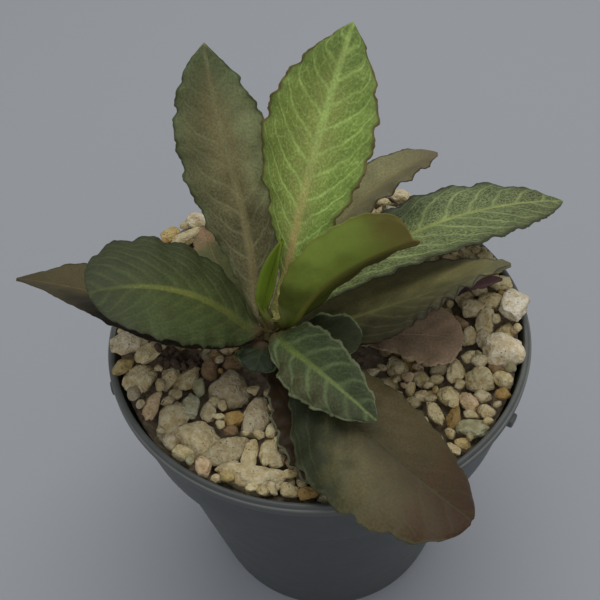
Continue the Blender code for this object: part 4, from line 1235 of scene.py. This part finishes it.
def scale_finish():
    """Papery bud scale: brown with an olive tone, dull and finely streaked."""
    material, tree, shader = new_finish("bud_scale", 0.6)
    place = add(tree, "ShaderNodeTexCoord")
    streak = add(tree, "ShaderNodeTexNoise",
                 named={"Vector": place.outputs["Object"], "Scale": 1.0 / (0.8 * MM), "Detail": 4.0})
    body = add(tree, "ShaderNodeMix", data_type="RGBA",
               named={0: streak, 6: "#4C3824", 7: "#6E6636"})
    bump = add(tree, "ShaderNodeBump", named={"Height": streak, "Strength": 0.4, "Distance": 0.15 * MM})
    join(tree, shader, body, bump)
    return material


def stem_finish():
    """Young bark: brown below and reddish green at the tip, with a matt, uneven skin."""
    material, tree, shader = new_finish("young_bark", 0.7)
    place = add(tree, "ShaderNodeTexCoord")
    height = add(tree, "ShaderNodeSeparateXYZ", place.outputs["Object"])
    upper = add(tree, "ShaderNodeMapRange", height.outputs["Z"], 78.0 * MM, 89.0 * MM, 0.0, 1.0)
    patch = add(tree, "ShaderNodeTexNoise",
                named={"Vector": place.outputs["Object"], "Scale": 1.0 / (1.2 * MM), "Detail": 5.0})
    low = add(tree, "ShaderNodeMix", data_type="RGBA",
              named={0: patch, 6: "#3A2C20", 7: "#6A5240"})
    high = add(tree, "ShaderNodeMix", data_type="RGBA",
               named={0: patch, 6: "#5A4628", 7: "#6A6C32"})
    body = add(tree, "ShaderNodeMix", data_type="RGBA", named={0: upper, 6: low, 7: high})
    bump = add(tree, "ShaderNodeBump", named={"Height": patch, "Strength": 0.6, "Distance": 0.3 * MM})
    join(tree, shader, body, bump)
    return material


# Studio

def make_floor():
    """Large pale floor with a faint cool tone, a hair under the pot's foot."""
    corners = [(x * FLOOR_REACH, y * FLOOR_REACH, -0.05) for x, y in ((-1, -1), (1, -1), (1, 1), (-1, 1))]
    floor = mesh_piece("floor", corners, [(0, 1, 2, 3)], smoothed=False)
    material, _, shader = new_finish("matt_board", 0.9)
    shader.inputs["Base Color"].default_value = linear("#ACAFB4")
    floor.data.materials.append(material)


def make_lights():
    """One wide soft light overhead and a low, even fill from all round."""
    for name, place, size, power, tint in (
            ("overhead", (0.1, 0.26, 0.95), 0.85, 3.55, (1.0, 0.98, 0.94)),
            ("front", (0.05, -0.85, 0.8), 0.9, 1.1, (0.97, 0.98, 1.0))):
        lamp = bpy.data.lights.new(name, "AREA")
        lamp.shape = "DISK"
        lamp.size = size
        lamp.energy = power
        lamp.color = tint
        holder = bpy.data.objects.new(name, lamp)
        holder.location = place
        aim = Vector((0.0, 0.0, 0.06)) - Vector(place)
        holder.rotation_euler = aim.to_track_quat("-Z", "Y").to_euler()
        bpy.context.scene.collection.objects.link(holder)
    world = bpy.data.worlds.new("room")
    bpy.context.scene.world = world
    world.use_nodes = True
    world.node_tree.nodes["Background"].inputs["Color"].default_value = (0.84, 0.87, 0.92, 1.0)
    world.node_tree.nodes["Background"].inputs["Strength"].default_value = 0.4


def make_camera():
    """Camera of the photograph, which looks down on the pot from the front."""
    distance = RIM_DISTANCE * RIM_RADIUS
    elevation = math.radians(ELEVATION)
    focal = FOCAL_LENGTH / PICTURE_WIDTH
    rim_at = (RIM_CENTRE[0] / PICTURE_WIDTH - 0.5, 0.5 - RIM_CENTRE[1] / PICTURE_WIDTH)
    back = Vector((0.0, -math.cos(elevation), math.sin(elevation)))
    right = Vector((1.0, 0.0, 0.0))
    level = Matrix((right, back.cross(right), back)).transposed()
    wanted = Vector((rim_at[0] / focal, rim_at[1] / focal, -1.0)).normalized()
    swing = Vector((0.0, 0.0, -1.0)).rotation_difference(wanted).to_matrix()
    roll = Matrix.Rotation(math.radians(ROLL), 3, "Z")
    turn = level @ roll.transposed() @ swing.transposed()
    data = bpy.data.cameras.new("camera")
    data.sensor_width = SENSOR_WIDTH
    data.lens = SENSOR_WIDTH * focal
    data.clip_start = 0.01
    camera = bpy.data.objects.new("camera", data)
    place = back * distance * MM + Vector((0.0, 0.0, POT_HEIGHT * MM))
    camera.matrix_world = Matrix.Translation(place) @ turn.to_4x4()
    bpy.context.scene.collection.objects.link(camera)
    bpy.context.scene.camera = camera


def main():
    make_camera()
    make_floor()
    make_lights()
    make_pot()
    make_stem()
    make_bud_scales()
    leaf_corners = np.concatenate([make_leaf(name, spec, LOOKS[name]) for name, spec in LEAVES.items()])
    make_bed()
    make_stones(leaf_corners, stone_finish())
    soil = frame["nodes"]["soil"]
    soil.data.materials.clear()
    soil.data.materials.append(bpy.data.materials["damp_compost"])
    bpy.context.scene.view_settings.view_transform = "Standard"


main()
